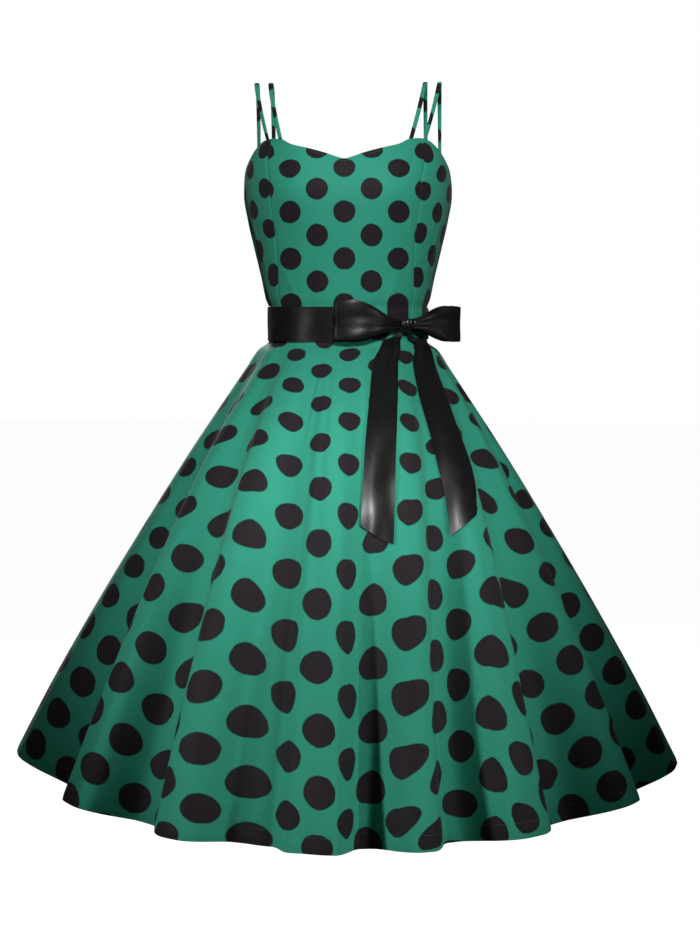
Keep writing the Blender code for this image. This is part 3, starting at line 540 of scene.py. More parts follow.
def calc(tree, operation, *values, clamp=False):
    """The result of one step of arithmetic."""
    made = node(tree, "ShaderNodeMath", dict(enumerate(values)), operation=operation, use_clamp=clamp)
    return made.outputs[0]


def blend(tree, amount, low, high):
    """A colour between two others."""
    made = node(tree, "ShaderNodeMix", {0: amount, 6: low, 7: high}, data_type="RGBA")
    return made.outputs[2]


def group(kind, name, inputs, outputs):
    """A new node group with its sockets, and its two end nodes."""
    tree = bpy.data.node_groups.new(name, kind)
    for label, socket, default in inputs:
        made = tree.interface.new_socket(label, in_out="INPUT", socket_type=socket)
        if default is not None:
            made.default_value = default
    for label, socket in outputs:
        tree.interface.new_socket(label, in_out="OUTPUT", socket_type=socket)
    return tree, tree.nodes.new("NodeGroupInput"), tree.nodes.new("NodeGroupOutput")


def noise(tree, vector, scale, detail=2.0, stretch=(1.0, 1.0, 1.0)):
    """Cloudy values about 0.5, drawn out along an axis where stretch is below 1."""
    mapped = node(tree, "ShaderNodeMapping", {"Vector": vector, "Scale": stretch}).outputs[0]
    made = node(tree, "ShaderNodeTexNoise", {"Vector": mapped, "Scale": scale, "Detail": detail})
    return made.outputs["Fac"]


def spots_group():
    """Half-drop spots from counted columns and rows: how much of a place is spot, and its rim."""
    tree, given, result = group(
        "ShaderNodeTree", "Half-drop spots", [("Chart", "NodeSocketVector", None)],
        [("Spot", "NodeSocketFloat"), ("Heart", "NodeSocketFloat")],
    )
    chart = given.outputs["Chart"]
    parts = node(tree, "ShaderNodeSeparateXYZ", {0: chart}).outputs
    column, row, radius = parts[0], parts[1], parts[2]
    wobble = calc(tree, "MULTIPLY", calc(tree, "SUBTRACT", noise(tree, chart, 3.1, 1.0), 0.5), 0.045)
    turned = []
    for operation in ("ADD", "SUBTRACT"):
        place_on = calc(tree, "MULTIPLY", calc(tree, "SUBTRACT", calc(tree, operation, column, row), 1.0), 0.5)
        turned.append(calc(tree, "SUBTRACT", place_on, calc(tree, "ROUND", place_on)))
    across = calc(tree, "ADD", *turned)
    down = calc(tree, "MULTIPLY", calc(tree, "SUBTRACT", *turned), SPOT_SQUASH)
    squares = [calc(tree, "MULTIPLY", way, way) for way in (across, down)]
    far = calc(tree, "SQRT", calc(tree, "ADD", *squares))
    depth = calc(tree, "ADD", calc(tree, "SUBTRACT", radius, far), wobble)
    spot = calc(tree, "ADD", calc(tree, "MULTIPLY", depth, 34.0), 0.5, clamp=True)
    heart = calc(tree, "MULTIPLY", depth, 15.0, clamp=True)
    feed(tree, result.inputs["Spot"], spot)
    feed(tree, result.inputs["Heart"], heart)
    return tree


def weave_group():
    """Warp and weft threads with slubs: shade about 1, and height."""
    tree, given, result = group(
        "ShaderNodeTree", "Woven threads", [("Cloth", "NodeSocketVector", None)],
        [("Shade", "NodeSocketFloat"), ("Height", "NodeSocketFloat")],
    )
    cloth = given.outputs["Cloth"]
    warp = noise(tree, cloth, 900.0, 2.0, (1.0, 0.09, 1.0))
    weft = noise(tree, cloth, 900.0, 2.0, (0.09, 1.0, 1.0))
    cloud = noise(tree, cloth, 22.0, 3.0)
    threads = calc(tree, "ADD", warp, weft)
    shade = calc(tree, "ADD", calc(tree, "MULTIPLY", threads, 0.16), calc(tree, "MULTIPLY", cloud, 0.14))
    feed(tree, result.inputs["Shade"], calc(tree, "ADD", shade, 0.77))
    feed(tree, result.inputs["Height"], threads)
    return tree


def satin_group():
    """Fine floats of a satin ribbon that run across it: gloss and height, and a faint shade."""
    tree, given, result = group(
        "ShaderNodeTree", "Satin floats", [("Cloth", "NodeSocketVector", None)],
        [("Shade", "NodeSocketFloat"), ("Gloss", "NodeSocketFloat"), ("Height", "NodeSocketFloat")],
    )
    cloth = given.outputs["Cloth"]
    floats = noise(tree, cloth, 1400.0, 2.0, (0.05, 1.0, 1.0))
    worn = noise(tree, cloth, 46.0, 3.0)
    feed(tree, result.inputs["Shade"], calc(tree, "ADD", calc(tree, "MULTIPLY", floats, 0.5), 0.75))
    gloss = calc(tree, "ADD", calc(tree, "MULTIPLY", floats, 0.10), calc(tree, "MULTIPLY", worn, 0.16))
    feed(tree, result.inputs["Gloss"], calc(tree, "ADD", gloss, 0.19))
    feed(tree, result.inputs["Height"], calc(tree, "ADD", floats, calc(tree, "MULTIPLY", worn, 1.6)))
    return tree


def shared(name, make):
    """A node group that is built once and used by many."""
    return bpy.data.node_groups.get(name) or make()


def effect(tree, group_tree, inputs):
    """A shared effect placed in a material's tree."""
    made = tree.nodes.new("ShaderNodeGroup")
    made.node_tree = group_tree
    for key, value in inputs.items():
        feed(tree, made.inputs[key], value)
    return made


def new_material(name, finish, depth, distance, **fixed):
    """A Principled material, made once; finish gives the colour, roughness and height of its tree."""
    if bpy.data.materials.get(name):
        return bpy.data.materials[name]
    mat = bpy.data.materials.new(name)
    mat.use_nodes = True
    tree = mat.node_tree
    shader = tree.nodes["Principled BSDF"]
    color, rough, height = finish(tree)
    feed(tree, shader.inputs["Base Color"], color)
    feed(tree, shader.inputs["Roughness"], rough)
    bump = node(tree, "ShaderNodeBump", {"Height": height, "Strength": depth, "Distance": distance})
    feed(tree, shader.inputs["Normal"], bump.outputs[0])
    for key, value in fixed.items():
        shader.inputs[key.replace("_", " ")].default_value = value
    return mat


def mixed(first, second, share):
    """A colour between two others."""
    return tuple((1 - share) * a + share * b for a, b in zip(first, second))


def cloth_material(wrong_side=False):
    """The printed cotton; its wrong side is paler, with the print showing through."""
    look = bpy.context.scene.dress_cloth

    def finish(tree):
        chart = node(tree, "ShaderNodeAttribute", attribute_name="spots").outputs["Vector"]
        cloth = node(tree, "ShaderNodeUVMap", uv_map="UVMap").outputs["UV"]
        spots = effect(tree, shared("Half-drop spots", spots_group), {"Chart": chart})
        weave = effect(tree, shared("Woven threads", weave_group), {"Cloth": cloth})
        green, ink, rim = tuple(look.green), tuple(look.spot), tuple(look.spot_rim)
        if wrong_side:
            green = mixed(green, WRONG_SIDE_PALE, WRONG_SIDE_FADE)
            ink = mixed(ink, green, WRONG_SIDE_HIDE)
            rim = ink
        spot = blend(tree, spots.outputs["Heart"], (*rim, 1), (*ink, 1))
        color = blend(tree, spots.outputs["Spot"], (*green, 1), spot)
        shaded = node(tree, "ShaderNodeHueSaturation", {"Value": weave.outputs["Shade"], "Color": color})
        dry = calc(tree, "MULTIPLY", weave.outputs["Shade"], 0.80)
        rough = calc(tree, "SUBTRACT", dry, calc(tree, "MULTIPLY", spots.outputs["Spot"], 0.06))
        return shaded.outputs[0], rough, weave.outputs["Height"]

    return new_material(
        "Printed cotton wrong side" if wrong_side else "Printed cotton", finish, 0.35, 0.0004,
        Specular_IOR_Level=0.25, Sheen_Weight=0.06, Sheen_Roughness=0.5,
    )


def satin_material():
    """The ribbon, glossy along its floats."""
    look = bpy.context.scene.dress_ribbon

    def finish(tree):
        cloth = node(tree, "ShaderNodeUVMap", uv_map="UVMap").outputs["UV"]
        satin = effect(tree, shared("Satin floats", satin_group), {"Cloth": cloth})
        shade = satin.outputs["Shade"]
        color = node(tree, "ShaderNodeHueSaturation", {"Value": shade, "Color": (*look.black, 1)})
        return color.outputs[0], satin.outputs["Gloss"], satin.outputs["Height"]

    return new_material(
        "Black satin", finish, 0.25, 0.0003, Specular_IOR_Level=0.45, Sheen_Weight=0.05, Sheen_Roughness=0.3
    )


def plain_material(name, base, low, high, scale, rough, depth, **fixed):
    """A small part's finish: cloudy between two shades of a colour, rougher where it is darker."""

    def finish(tree):
        where = node(tree, "ShaderNodeTexCoord").outputs["Object"]
        cloud = noise(tree, where, scale, 3.0)
        color = blend(tree, cloud, (*[b * low for b in base], 1), (*[min(1.0, b * high) for b in base], 1))
        roughness = calc(tree, "ADD", calc(tree, "MULTIPLY", cloud, rough[1]), rough[0])
        return color, roughness, cloud

    return new_material(name, finish, depth, 0.0002, **fixed)


def metal_material():
    """The zip's slider and pull."""
    nickel = (0.60, 0.61, 0.60)
    return plain_material("Nickel plate", nickel, 0.82, 1.12, 900.0, (0.20, 0.18), 0.15, Metallic=1.0)


def thread_material():
    """The thread of every visible run of stitches."""
    green = bpy.context.scene.dress_cloth.green
    return plain_material("Sewing thread", tuple(green), 0.55, 1.05, 1500.0, (0.55, 0.2), 0.3)


def tape_material():
    """The zip's woven tape."""
    green = bpy.context.scene.dress_cloth.green
    return plain_material("Zip tape", tuple(green), 0.45, 0.85, 1200.0, (0.62, 0.2), 0.4)


def coil_material():
    """The zip's plastic coil."""
    return plain_material("Zip coil", (0.03, 0.22, 0.14), 0.7, 1.2, 2000.0, (0.34, 0.14), 0.2)


# ---------------------------------------------------------------- bodice
def crease_rise(points, angle, z):
    """Rise of the listed drag lines at places on the bodice."""
    total = np.zeros(angle.shape)
    for at, height, long, broad, lean, rise in BODICE_CREASES:
        side = np.radians(angle - at) * np.linalg.norm(points[..., :2], axis=-1)
        up = z - height
        t = math.radians(lean)
        through = side * math.cos(t) - up * math.sin(t)
        run = side * math.sin(t) + up * math.cos(t)
        total += rise * np.exp(-((through / broad) ** 2) - (run / long) ** 2)
    return total


def bodice_chart(points, z, which):
    """Column, row and radius of the print on a bodice panel."""
    if which == "front":
        column = (points[..., 0] + 0.0436 * (points[..., 1] + 0.115)) / BODICE_COLUMN
        row = np.interp(-z, [-h for h in FRONT_ROWS], np.arange(len(FRONT_ROWS)))
        row = row + np.clip(z - FRONT_ROWS[0], 0, None) / -BODICE_ROW
    elif which in ("side_left", "side_right"):
        side = 1 if which == "side_left" else -1
        arc = lengths(points, 1)
        arc = arc if side > 0 else arc[:, -1:] - arc
        rows = SIDE_ROWS[side]
        column = (arc - (0.0065 if side > 0 else 0.0098)) / (BODICE_COLUMN * 0.92)
        row = np.interp(-z, [-h for h in rows], np.arange(len(rows))) + 1
        row = row + np.clip(z - rows[0], 0, None) / -BODICE_ROW
    else:
        arc = lengths(points, 1)
        column = arc / BODICE_COLUMN + (0.35 if which == "back_left" else 0.8)
        row = -z / BODICE_ROW + (0.3 if which == "back_left" else 0.9)
    return vec(column, row, BODICE_SPOT)


def bodice_panel(which, left_edge, right_edge, look):
    """One bodice panel between two seams, each given as a function from height to angle."""
    columns = edge_steps(look.bodice_columns, 0.14 if which != "front" else 0.24)
    heights = np.concatenate([np.linspace(0, 0.985, look.bodice_rows), [0.993, 1.0]])
    bottom = WAIST_SEAM + SEAM_GAP / 2
    share = np.broadcast_to(columns, (len(heights), len(columns)))

    def angle_at(z):
        left, right = left_edge(z), right_edge(z)
        gap = np.degrees(SEAM_GAP / 2 / np.linalg.norm(bodice_point(left, z)[..., :2], axis=-1))
        return left + gap + (right - left - 2 * gap) * share

    top = np.full(share.shape, CUP_HEIGHT)
    for _ in range(12):
        top = top_edge(np.abs(angle_at(top)))
    z = bottom + (top - bottom) * heights[::-1][:, None]
    angle = angle_at(z)
    points = bodice_point(angle, z)
    out = bodice_facing(angle, z)
    across = lengths(points, 1)
    edge = np.minimum(across, across[:, -1:] - across)
    roll = BODICE_ROLL[0] * np.exp(-((edge / BODICE_ROLL[1]) ** 2))
    from_top = (top - z) / 0.0035
    ease_top = smooth(from_top)
    rise = crease_rise(points, angle, z) * smooth(edge / 0.010) * ease_top
    points = points + out * (rise - roll * ease_top)[..., None]
    out = grid_facing(points)
    flat = vec(across + (0.3 if "left" in which else 0.0), -z)
    chart = bodice_chart(points, z, which)
    sides = (cloth_material(), cloth_material(True))
    piece = shell(f"bodice_{which}_cloth", points, out, look.cloth, flat, chart, sides)
    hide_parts(f"bodice_{which}")
    return piece


def seam(value):
    """A straight seam, at one angle at every height."""
    return lambda z: np.full(np.shape(z), value)


# ---------------------------------------------------------------- skirt
def print_frame():
    """Arc share from the front centre and length down the folded skirt, on an even grid."""
    angle = np.arange(-180.0, 180.01, 0.5)
    share = np.linspace(0, 1, 161)
    points = skirt_point(*np.meshgrid(angle, share))
    arc = lengths(points, 1)
    centre = len(angle) // 2
    arc = arc - arc[:, centre:centre + 1]
    quarter = 180
    front = arc[:, centre + quarter] - arc[:, centre - quarter]
    return angle, share, arc / front[:, None], lengths(points, 0)


def read_grid(angle, share, angles, shares, table):
    """Values of an even grid at any places."""
    x = (angle - angles[0]) / (angles[1] - angles[0])
    y = share / (shares[1] - shares[0])
    i = np.clip(x.astype(int), 0, len(angles) - 2)
    j = np.clip(y.astype(int), 0, len(shares) - 2)
    u, v = x - i, y - j
    upper = table[j, i] * (1 - u) + table[j, i + 1] * u
    lower = table[j + 1, i] * (1 - u) + table[j + 1, i + 1] * u
    return upper * (1 - v) + lower * v


def spot_places(across, down):
    """Columns and rows of the print at places of the skirt front's flat sector."""
    known = sorted(SKIRT_COLUMNS)
    first, last = known[0], known[-1]
    table = {k: curve(SKIRT_COLUMNS[k])(down) for k in known}
    for k in range(first - 14, first):
        table[k] = table[first] + (k - first) * SKIRT_COLUMN
    for k in range(last + 1, last + 15):
        table[k] = table[last] + (k - last) * SKIRT_COLUMN
    numbers = sorted(table)
    lines = np.stack([table[k] for k in numbers], -1)
    below = np.clip((lines <= across[..., None]).sum(-1) - 1, 0, len(numbers) - 2)[..., None]
    low = np.take_along_axis(lines, below, -1)[..., 0]
    high = np.take_along_axis(lines, below + 1, -1)[..., 0]
    column = numbers[0] + below[..., 0] + (across - low) / (high - low)
    shift = np.interp(column, [s[0] for s in ROW_SHIFT], [s[1] for s in ROW_SHIFT])
    beyond = np.clip(column - 6, 0, None) + np.clip(-5 - column, 0, None)
    shift = shift - 0.004 * beyond
    row = np.interp(down - shift, [r[1] for r in SKIRT_ROWS], [r[0] for r in SKIRT_ROWS])
    return column, row


def skirt_chart(angle, share, which, frame_grid):
    """Column, row and radius of the print on a skirt panel, and its places on the flat sector."""
    angles, shares, arcs, downs = frame_grid
    turn = read_grid(angle, share, angles, shares, arcs) * FAN
    reach = FAN_START + read_grid(angle, share, angles, shares, downs)
    if which != "front":
        side = 1 if which == "back_left" else -1
        turn = turn - side * (FAN / 2 + 0.42)
    column, row = spot_places(reach * np.sin(turn), reach * np.cos(turn))
    if which != "front":
        column = column + (0.4 if which == "back_left" else 0.7)
    radius = curve(SKIRT_SPOTS)(row)
    return vec(column, row, radius), reach, turn


def skirt_creases(hem_angle, share):
    """Rise of the listed creases, which run along the folds."""
    total = np.zeros(share.shape)
    for at, middle, broad, long, rise in SKIRT_CREASES:
        total += rise * np.exp(-(((hem_angle - at) / broad) ** 2) - ((share - middle) / long) ** 2)
    return total * smooth(share / 0.12) * smooth((1.0 - share) / 0.04 + 0.35)


def skirt_panel(which, left, right, look, frame_grid):
    """A skirt panel between two seams, with columns that run down along the folds."""
    stops = [left, *[f[1] for f in FOLDS if left < f[1] < right], right]
    waists = [left, *[f[0] for f in FOLDS if left < f[1] < right], right]
    hem = [np.array([left])]
    for a, b in zip(stops, stops[1:]):
        count = max(6, math.ceil((b - a) / look.skirt_step))
        hem.append(np.linspace(a, b, count + 1)[1:])
    hem = np.concatenate(hem)
    close = np.array([0.12, 0.28, 0.55])
    hem = np.sort(np.concatenate([hem, left + close, right - close]))
    share = np.concatenate([
        np.linspace(0, 0.06, 10)[:-1], np.linspace(0.06, 0.98, look.skirt_rows),
        [0.985, 0.990, 0.995, 0.9985, 1.0],
    ])
    turn = (1 - share) ** FOLD_TURN
    angle = np.stack([
        np.interp(hem, stops, [h + (w - h) * t for h, w in zip(stops, waists)]) for t in turn
    ])
    share = np.broadcast_to(share[:, None], angle.shape)
    reach_at_seam = np.linalg.norm(skirt_base(angle[:, 0], share[:, 0])[..., :2], axis=-1)
    gap = np.degrees(SEAM_GAP / 2 / reach_at_seam)[:, None] * 1.05
    middle = (left + right) / 2
    angle = middle + (angle - middle) * (1 - 2 * gap / (right - left))
    points = skirt_point(angle, share)
    out = facing(skirt_point, angle, np.clip(share, 0.006, 0.994), 0.4, 0.006)
    across = lengths(points, 1)
    edge = np.minimum(across, across[:, -1:] - across)
    roll = SKIRT_ROLL[0] * np.exp(-((edge / SKIRT_ROLL[1]) ** 2)) * smooth(share / 0.05)
    rise = skirt_creases(np.broadcast_to(hem, angle.shape), share) * smooth(edge / 0.02)
    roll_hem = HEM_ROLL * smooth((share - 0.990) / 0.010)
    points = points + out * (rise - roll - roll_hem)[..., None]
    points[0, :, 2] -= SEAM_GAP / 2
    out = grid_facing(points)
    out[0] = unit(out[0] * np.array([1, 1, 0]))
    thick = look.cloth + look.cloth * smooth((share - (1 - look.hem / SKIRT_DROP)) / 0.003)
    chart, reach, around = skirt_chart(angle, share, which, frame_grid)
    flat = vec(reach * np.sin(around), -reach * np.cos(around))
    sides = (cloth_material(), cloth_material(True))
    piece = shell(f"skirt_{which}_cloth", points, out, thick, flat, chart, sides)
    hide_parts(f"skirt_{which}")
    return piece


# ---------------------------------------------------------------- straps and ribbon
def band(name, centres, across, width, thick, mat, chart):
    """A narrow solid band along stations, its long edges rounded."""
    forward = unit(np.gradient(centres, axis=0))
    across = unit(across - forward * (across * forward).sum(-1, keepdims=True))
    out = unit(np.cross(across, forward))
    around = []
    corners = []
    for k in range(BAND_SIDES):
        t = 2 * math.pi * k / BAND_SIDES
        c, s = math.cos(t), math.sin(t)
        x = math.copysign(abs(c) ** 0.45, c) * width / 2
        y = math.copysign(abs(s) ** 0.8, s) * thick / 2
        around.append(centres + across * x + out * y)
        corners.append(x)
    points = np.stack(around, 1)
    high, wide = points.shape[:2]
    index = np.arange(high * wide).reshape(high, wide)
    nxt = np.roll(index, -1, 1)
    faces = np.stack([index[:-1], nxt[:-1], nxt[1:], index[1:]], -1).reshape(-1, 4).tolist()
    faces += [index[0, ::-1].tolist(), index[-1].tolist()]
    mesh = bpy.data.meshes.new(name)
    mesh.from_pydata(points.reshape(-1, 3).tolist(), [], faces)
    if np.dot(mesh.polygons[0].normal, points[0, 0] + points[1, 1] - centres[0] - centres[1]) < 0:
        mesh.flip_normals()
    run = lengths(centres[:, None], 0)[:, 0]
    flat = np.stack([np.tile(corners, (high, 1)), np.repeat(run[:, None], wide, 1)], -1).reshape(-1, 2)
    loops = np.empty(len(mesh.loops), np.int32)
    mesh.loops.foreach_get("vertex_index", loops)
    mesh.uv_layers.new(name="UVMap").data.foreach_set("uv", flat[loops].astype(np.float32).ravel())
    places = chart(flat[:, 1], flat[:, 0]).astype(np.float32)
    mesh.attributes.new("spots", "FLOAT_VECTOR", "POINT").data.foreach_set("vector", places.ravel())
    mesh.materials.append(mat)
    mesh.shade_smooth()
    mesh.set_sharp_from_angle(angle=math.radians(60))
    return place(name, mesh, "root")


def strap_route(front_angle, reach, back_angle, side, steps):
    """The middle of a strap and the direction of its width, from the front foot to the back one."""
    sunk = CLOTH + STRAP_LAY + STRAP_THICK / 2
    feet = []
    for angle in (front_angle, back_angle):
        edge = float(top_edge(angle))
        drops = edge - np.array([STRAP_TUCK, STRAP_TUCK / 2, 0.0])
        foot = bodice_point(angle, drops) - bodice_facing(np.full(3, float(angle)), drops) * sunk
        feet.append((foot, unit(bodice_point(angle + 1, edge) - bodice_point(angle - 1, edge))))
    (front, front_across), (back, back_across) = feet
    crown = np.array([reach, STRAP_CROWN, -STRAP_THICK / 2])
    over = np.array([1.0, 0, 0])
    back_across = -back_across

    def rise(start, start_across, climb):
        lead = start + (crown - start) * np.array([*STRAP_LEAD, climb])
        near_top = np.array([crown[0], crown[1] + (start[1] - crown[1]) * STRAP_ROUND, crown[2]])
        t = (np.arange(1, steps) / steps)[:, None]
        p = start * (1 - t) ** 3 + lead * 3 * t * (1 - t) ** 2 + near_top * 3 * t * t * (1 - t) + crown * t**3
        return p, start_across + (over - start_across) * t

    up, up_across = rise(front[-1], front_across, STRAP_CLIMB["front"])
    down, down_across = rise(back[-1], back_across, STRAP_CLIMB["back"])
    centres = np.concatenate([front, up, [crown], down[::-1], back[::-1]])
    across = np.concatenate([
        np.tile(front_across, (3, 1)), up_across, [over], down_across[::-1], np.tile(back_across, (3, 1))
    ])
    return centres * np.array([side, 1, 1]), across * np.array([1, side, side])


def strap_chart(start, run, aside):
    """Column, row and radius of the print on a strap."""
    row = run / (BODICE_ROW * STRAP_PRINT_SCALE) + start
    column = aside / BODICE_COLUMN + 0.17 + 0.05 * np.sin(run * 40)
    return vec(column, row, BODICE_SPOT * STRAP_PRINT_SCALE)


def ribbon_piece(name, node_name, points, out, look, flat):
    """A thin satin shell that takes the place of a CAD node."""
    piece = shell(name, points, out, look.ribbon, flat, None, (satin_material(),), sharp=50.0)
    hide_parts(node_name)
    return piece


def make_belt(look):
    """The ribbon once round the waist, gathered where it enters the knot."""
    columns = np.linspace(0, 1, look.belt_columns)
    k = np.linspace(-1, 1, 17)[:, None]
    start, end = KNOT_ANGLE + BELT_ENTRY, KNOT_ANGLE + 360 - BELT_ENTRY
    angle = start + (end - start) * columns
    ease = smooth(np.minimum(1.0, np.minimum((angle - start) / BELT_GATHER[0], (end - angle) / BELT_GATHER[1])))
    half = BELT_NECK + (BELT_HALF - BELT_NECK) * ease
    z = KNOT_MIDDLE * (1 - ease) + (BELT_TOP + BELT_BOTTOM) / 2 * ease - half * k
    pleat = 0.0010 * (1 - ease) * np.cos(k * math.pi * 3.5 + 0.6)
    wave = 0.00035 * np.sin(np.radians(angle) * 11 + 1.8 * k) * np.cos(k * math.pi / 2)
    off = LAY_GAP + RIBBON + BELT_RAISE * (1 - ease) + pleat + wave * ease
    angle = np.broadcast_to(angle, z.shape)
    points = belt_point(angle, z, off)
    flat = vec(lengths(points, 1), -BELT_HALF * k)
    return ribbon_piece("belt_ribbon_satin", "belt_ribbon", points, grid_facing(points), look, flat)


def knot_frame():
    """The knot's middle, its outward direction and the direction to the wearer's left."""
    out = waist_facing(KNOT_ANGLE)
    stand_off = LAY_GAP + RIBBON + BELT_RAISE + SEAM_GAP + KNOT_SIZE[1] / 2
    return belt_point(KNOT_ANGLE, KNOT_MIDDLE, stand_off), out, np.array([-out[1], out[0], 0.0])


def make_knot(look):
    """The ribbon drawn tight once round itself, with its creases."""
    centre, out, left = knot_frame()
    w = np.linspace(-1, 1, 29)
    t = np.radians(np.linspace(160, -160, 49))[:, None]
    girth = 0.62 + 0.38 * (1 - np.abs(w) ** 2.4)
    lean = 0.18 * np.sin(t)
    crease = 0.00075 * np.cos(2 * math.pi * (1.9 * w + lean) + 0.7) * (0.55 + 0.45 * np.cos(t * 0.8))
    deep = np.sign(np.cos(t)) * np.abs(np.cos(t)) ** 0.85 * (KNOT_SIZE[1] / 2 * girth + crease)
    tall = np.sign(np.sin(t)) * np.abs(np.sin(t)) ** 0.85 * (KNOT_SIZE[2] / 2 * girth + crease)
    side = w * KNOT_SIZE[0] / 2 * (0.93 + 0.07 * np.cos(t))
    points = centre + left * side[..., None] + out * deep[..., None] + np.array([0, 0, 1.0]) * tall[..., None]
    flat = vec(lengths(points, 0), side)
    return ribbon_piece("bow_knot_satin", "bow_knot", points, grid_facing(points), look, flat)


def loop_space(share, swell):
    """Half the room between a loop's two layers."""
    return LOOP_SPACE[0] + swell * np.sin(math.pi * np.minimum(share, 1.0) * LOOP_SPACE[1])


def make_loop(side, look):
    """A bow loop: out from the knot, over at its far end and back behind itself."""
    centre, out, left = knot_frame()
    turn = np.radians(np.linspace(0, 180, 15)[1:-1])
    go = np.linspace(0, 1, 30)
    share = np.concatenate([go, 1 + LOOP_BEND * np.sin(turn), go[::-1]])
    layer = np.concatenate([np.ones(30), np.cos(turn), -np.ones(30)])
    k = np.linspace(1, -1, 25)[:, None]
    ease = smooth(share / LOOP_WIDE_AT)
    half = LOOP_NECK + (LOOP_HALF - LOOP_NECK) * ease
    near = np.exp(-np.minimum(share, 1) / 0.34) * smooth(share / 0.06 + 0.3)
    if side > 0:
        plan = LEFT_LOOP
        lean = unit(np.array(plan["lean"]))
        s = share[:, None]
        forward = unit(left + (lean - left) * np.minimum(1.0, s * 1.5))
        start = centre + left * (KNOT_SIZE[0] / 2 + SEAM_GAP + LEFT_ROOT[0]) - out * LEFT_ROOT[1]
        heading = unit(left + (lean - left) * plan["turn"])
        middle = start + heading * plan["length"] * s
        outward = np.stack([forward[:, 1], -forward[:, 0], np.zeros(len(share))], -1)
        space = loop_space(share, plan["swell"])
    else:
        plan = RIGHT_LOOP
        angle = KNOT_ANGLE - plan["from"] - plan["swing"] * share
        space = loop_space(share, plan["swell"])
        middle = belt_point(angle, KNOT_MIDDLE, LAY_GAP + RIBBON + BELT_RAISE + RIBBON + plan["stand"] + space)
        outward = waist_facing(angle)
    pleat = 0.0011 * near * np.cos(k * math.pi * 3.2 + 0.9 * layer)
    billow = np.sin(k * 3.1 + share * 5.2 * layer + 0.8) * smooth((1 - k * k) / 0.3)
    pleat = pleat + 0.0007 * smooth(share / 0.3) * billow
    upper, lower = plan["edges"]
    height = np.where(k > 0, half + upper * ease, half + lower * ease) * k + plan["climb"] * share
    height = height + plan["bend"] * np.sin(math.pi * np.minimum(share, 1.0)) * (0.5 + 0.5 * k)
    apart = space * layer + pleat * np.where(layer > 0, 1.0, 0.5)
    points = middle + outward * apart[..., None] + vec(0, 0, height)
    normal = grid_facing(points)
    if side < 0:
        normal = -normal
        points = points + normal * RIBBON
    flat = vec(lengths(points, 1), LOOP_HALF * k)
    word = "left" if side > 0 else "right"
    return ribbon_piece(f"bow_loop_{word}_satin", f"bow_loop_{word}", points, normal, look, flat)


def make_tail(word, plan, look):
    """A ribbon tail that lies on the skirt, cut off at a slant."""
    route = plan["route"]
    angle_at = curve([(r[0], r[1]) for r in route])
    half_at = curve([(r[0], r[2]) for r in route])
    side = np.linspace(-1, 1, 15)
    t = np.linspace(0, 1, 61)[:, None]
    share = plan["from"] + (plan["to"] - plan["from"]) * t + plan["slant"] * side * t**6
    angle = np.broadcast_to(angle_at(t), share.shape)
    stretch = np.linalg.norm(skirt_point(angle + 1, share) - skirt_point(angle - 1, share), axis=-1) / 2
    angle = angle + side * half_at(t) / stretch
    lift = LAY_GAP + TAIL_CLEAR + plan["lift"] * (1 - t) ** 6
    ripple = 0.0011 * np.cos(side * math.pi * 2.2 + 0.5) * np.exp(-t / 0.22)
    ripple = ripple + 0.0006 * (1 + np.sin(t * 17 + side * 2.1)) * smooth(t / 0.3)
    on_skirt = skirt_point(angle, share) + skirt_facing(angle, share) * (lift + RIBBON + ripple)[..., None]
    off = LAY_GAP + RIBBON + BELT_RAISE + LAY_GAP + RIBBON
    stations = []
    for at, z, half in plan["top"]:
        spread = np.degrees(half / np.linalg.norm(belt_point(at, z, off)[:2]))
        stations.append(belt_point(at + side * spread, np.full(side.shape, z), np.full(side.shape, off)))
    first, second = stations
    u = (np.arange(TAIL_STEPS) / TAIL_STEPS)[:, None, None]
    points = np.concatenate([first + (second - first) * u, second + (on_skirt[0] - second) * u, on_skirt])
    flat = vec(-lengths(points, 0), side * TAIL_HALF)
    return ribbon_piece(f"bow_tail_{word}_satin", f"bow_tail_{word}", points, grid_facing(points), look, flat)


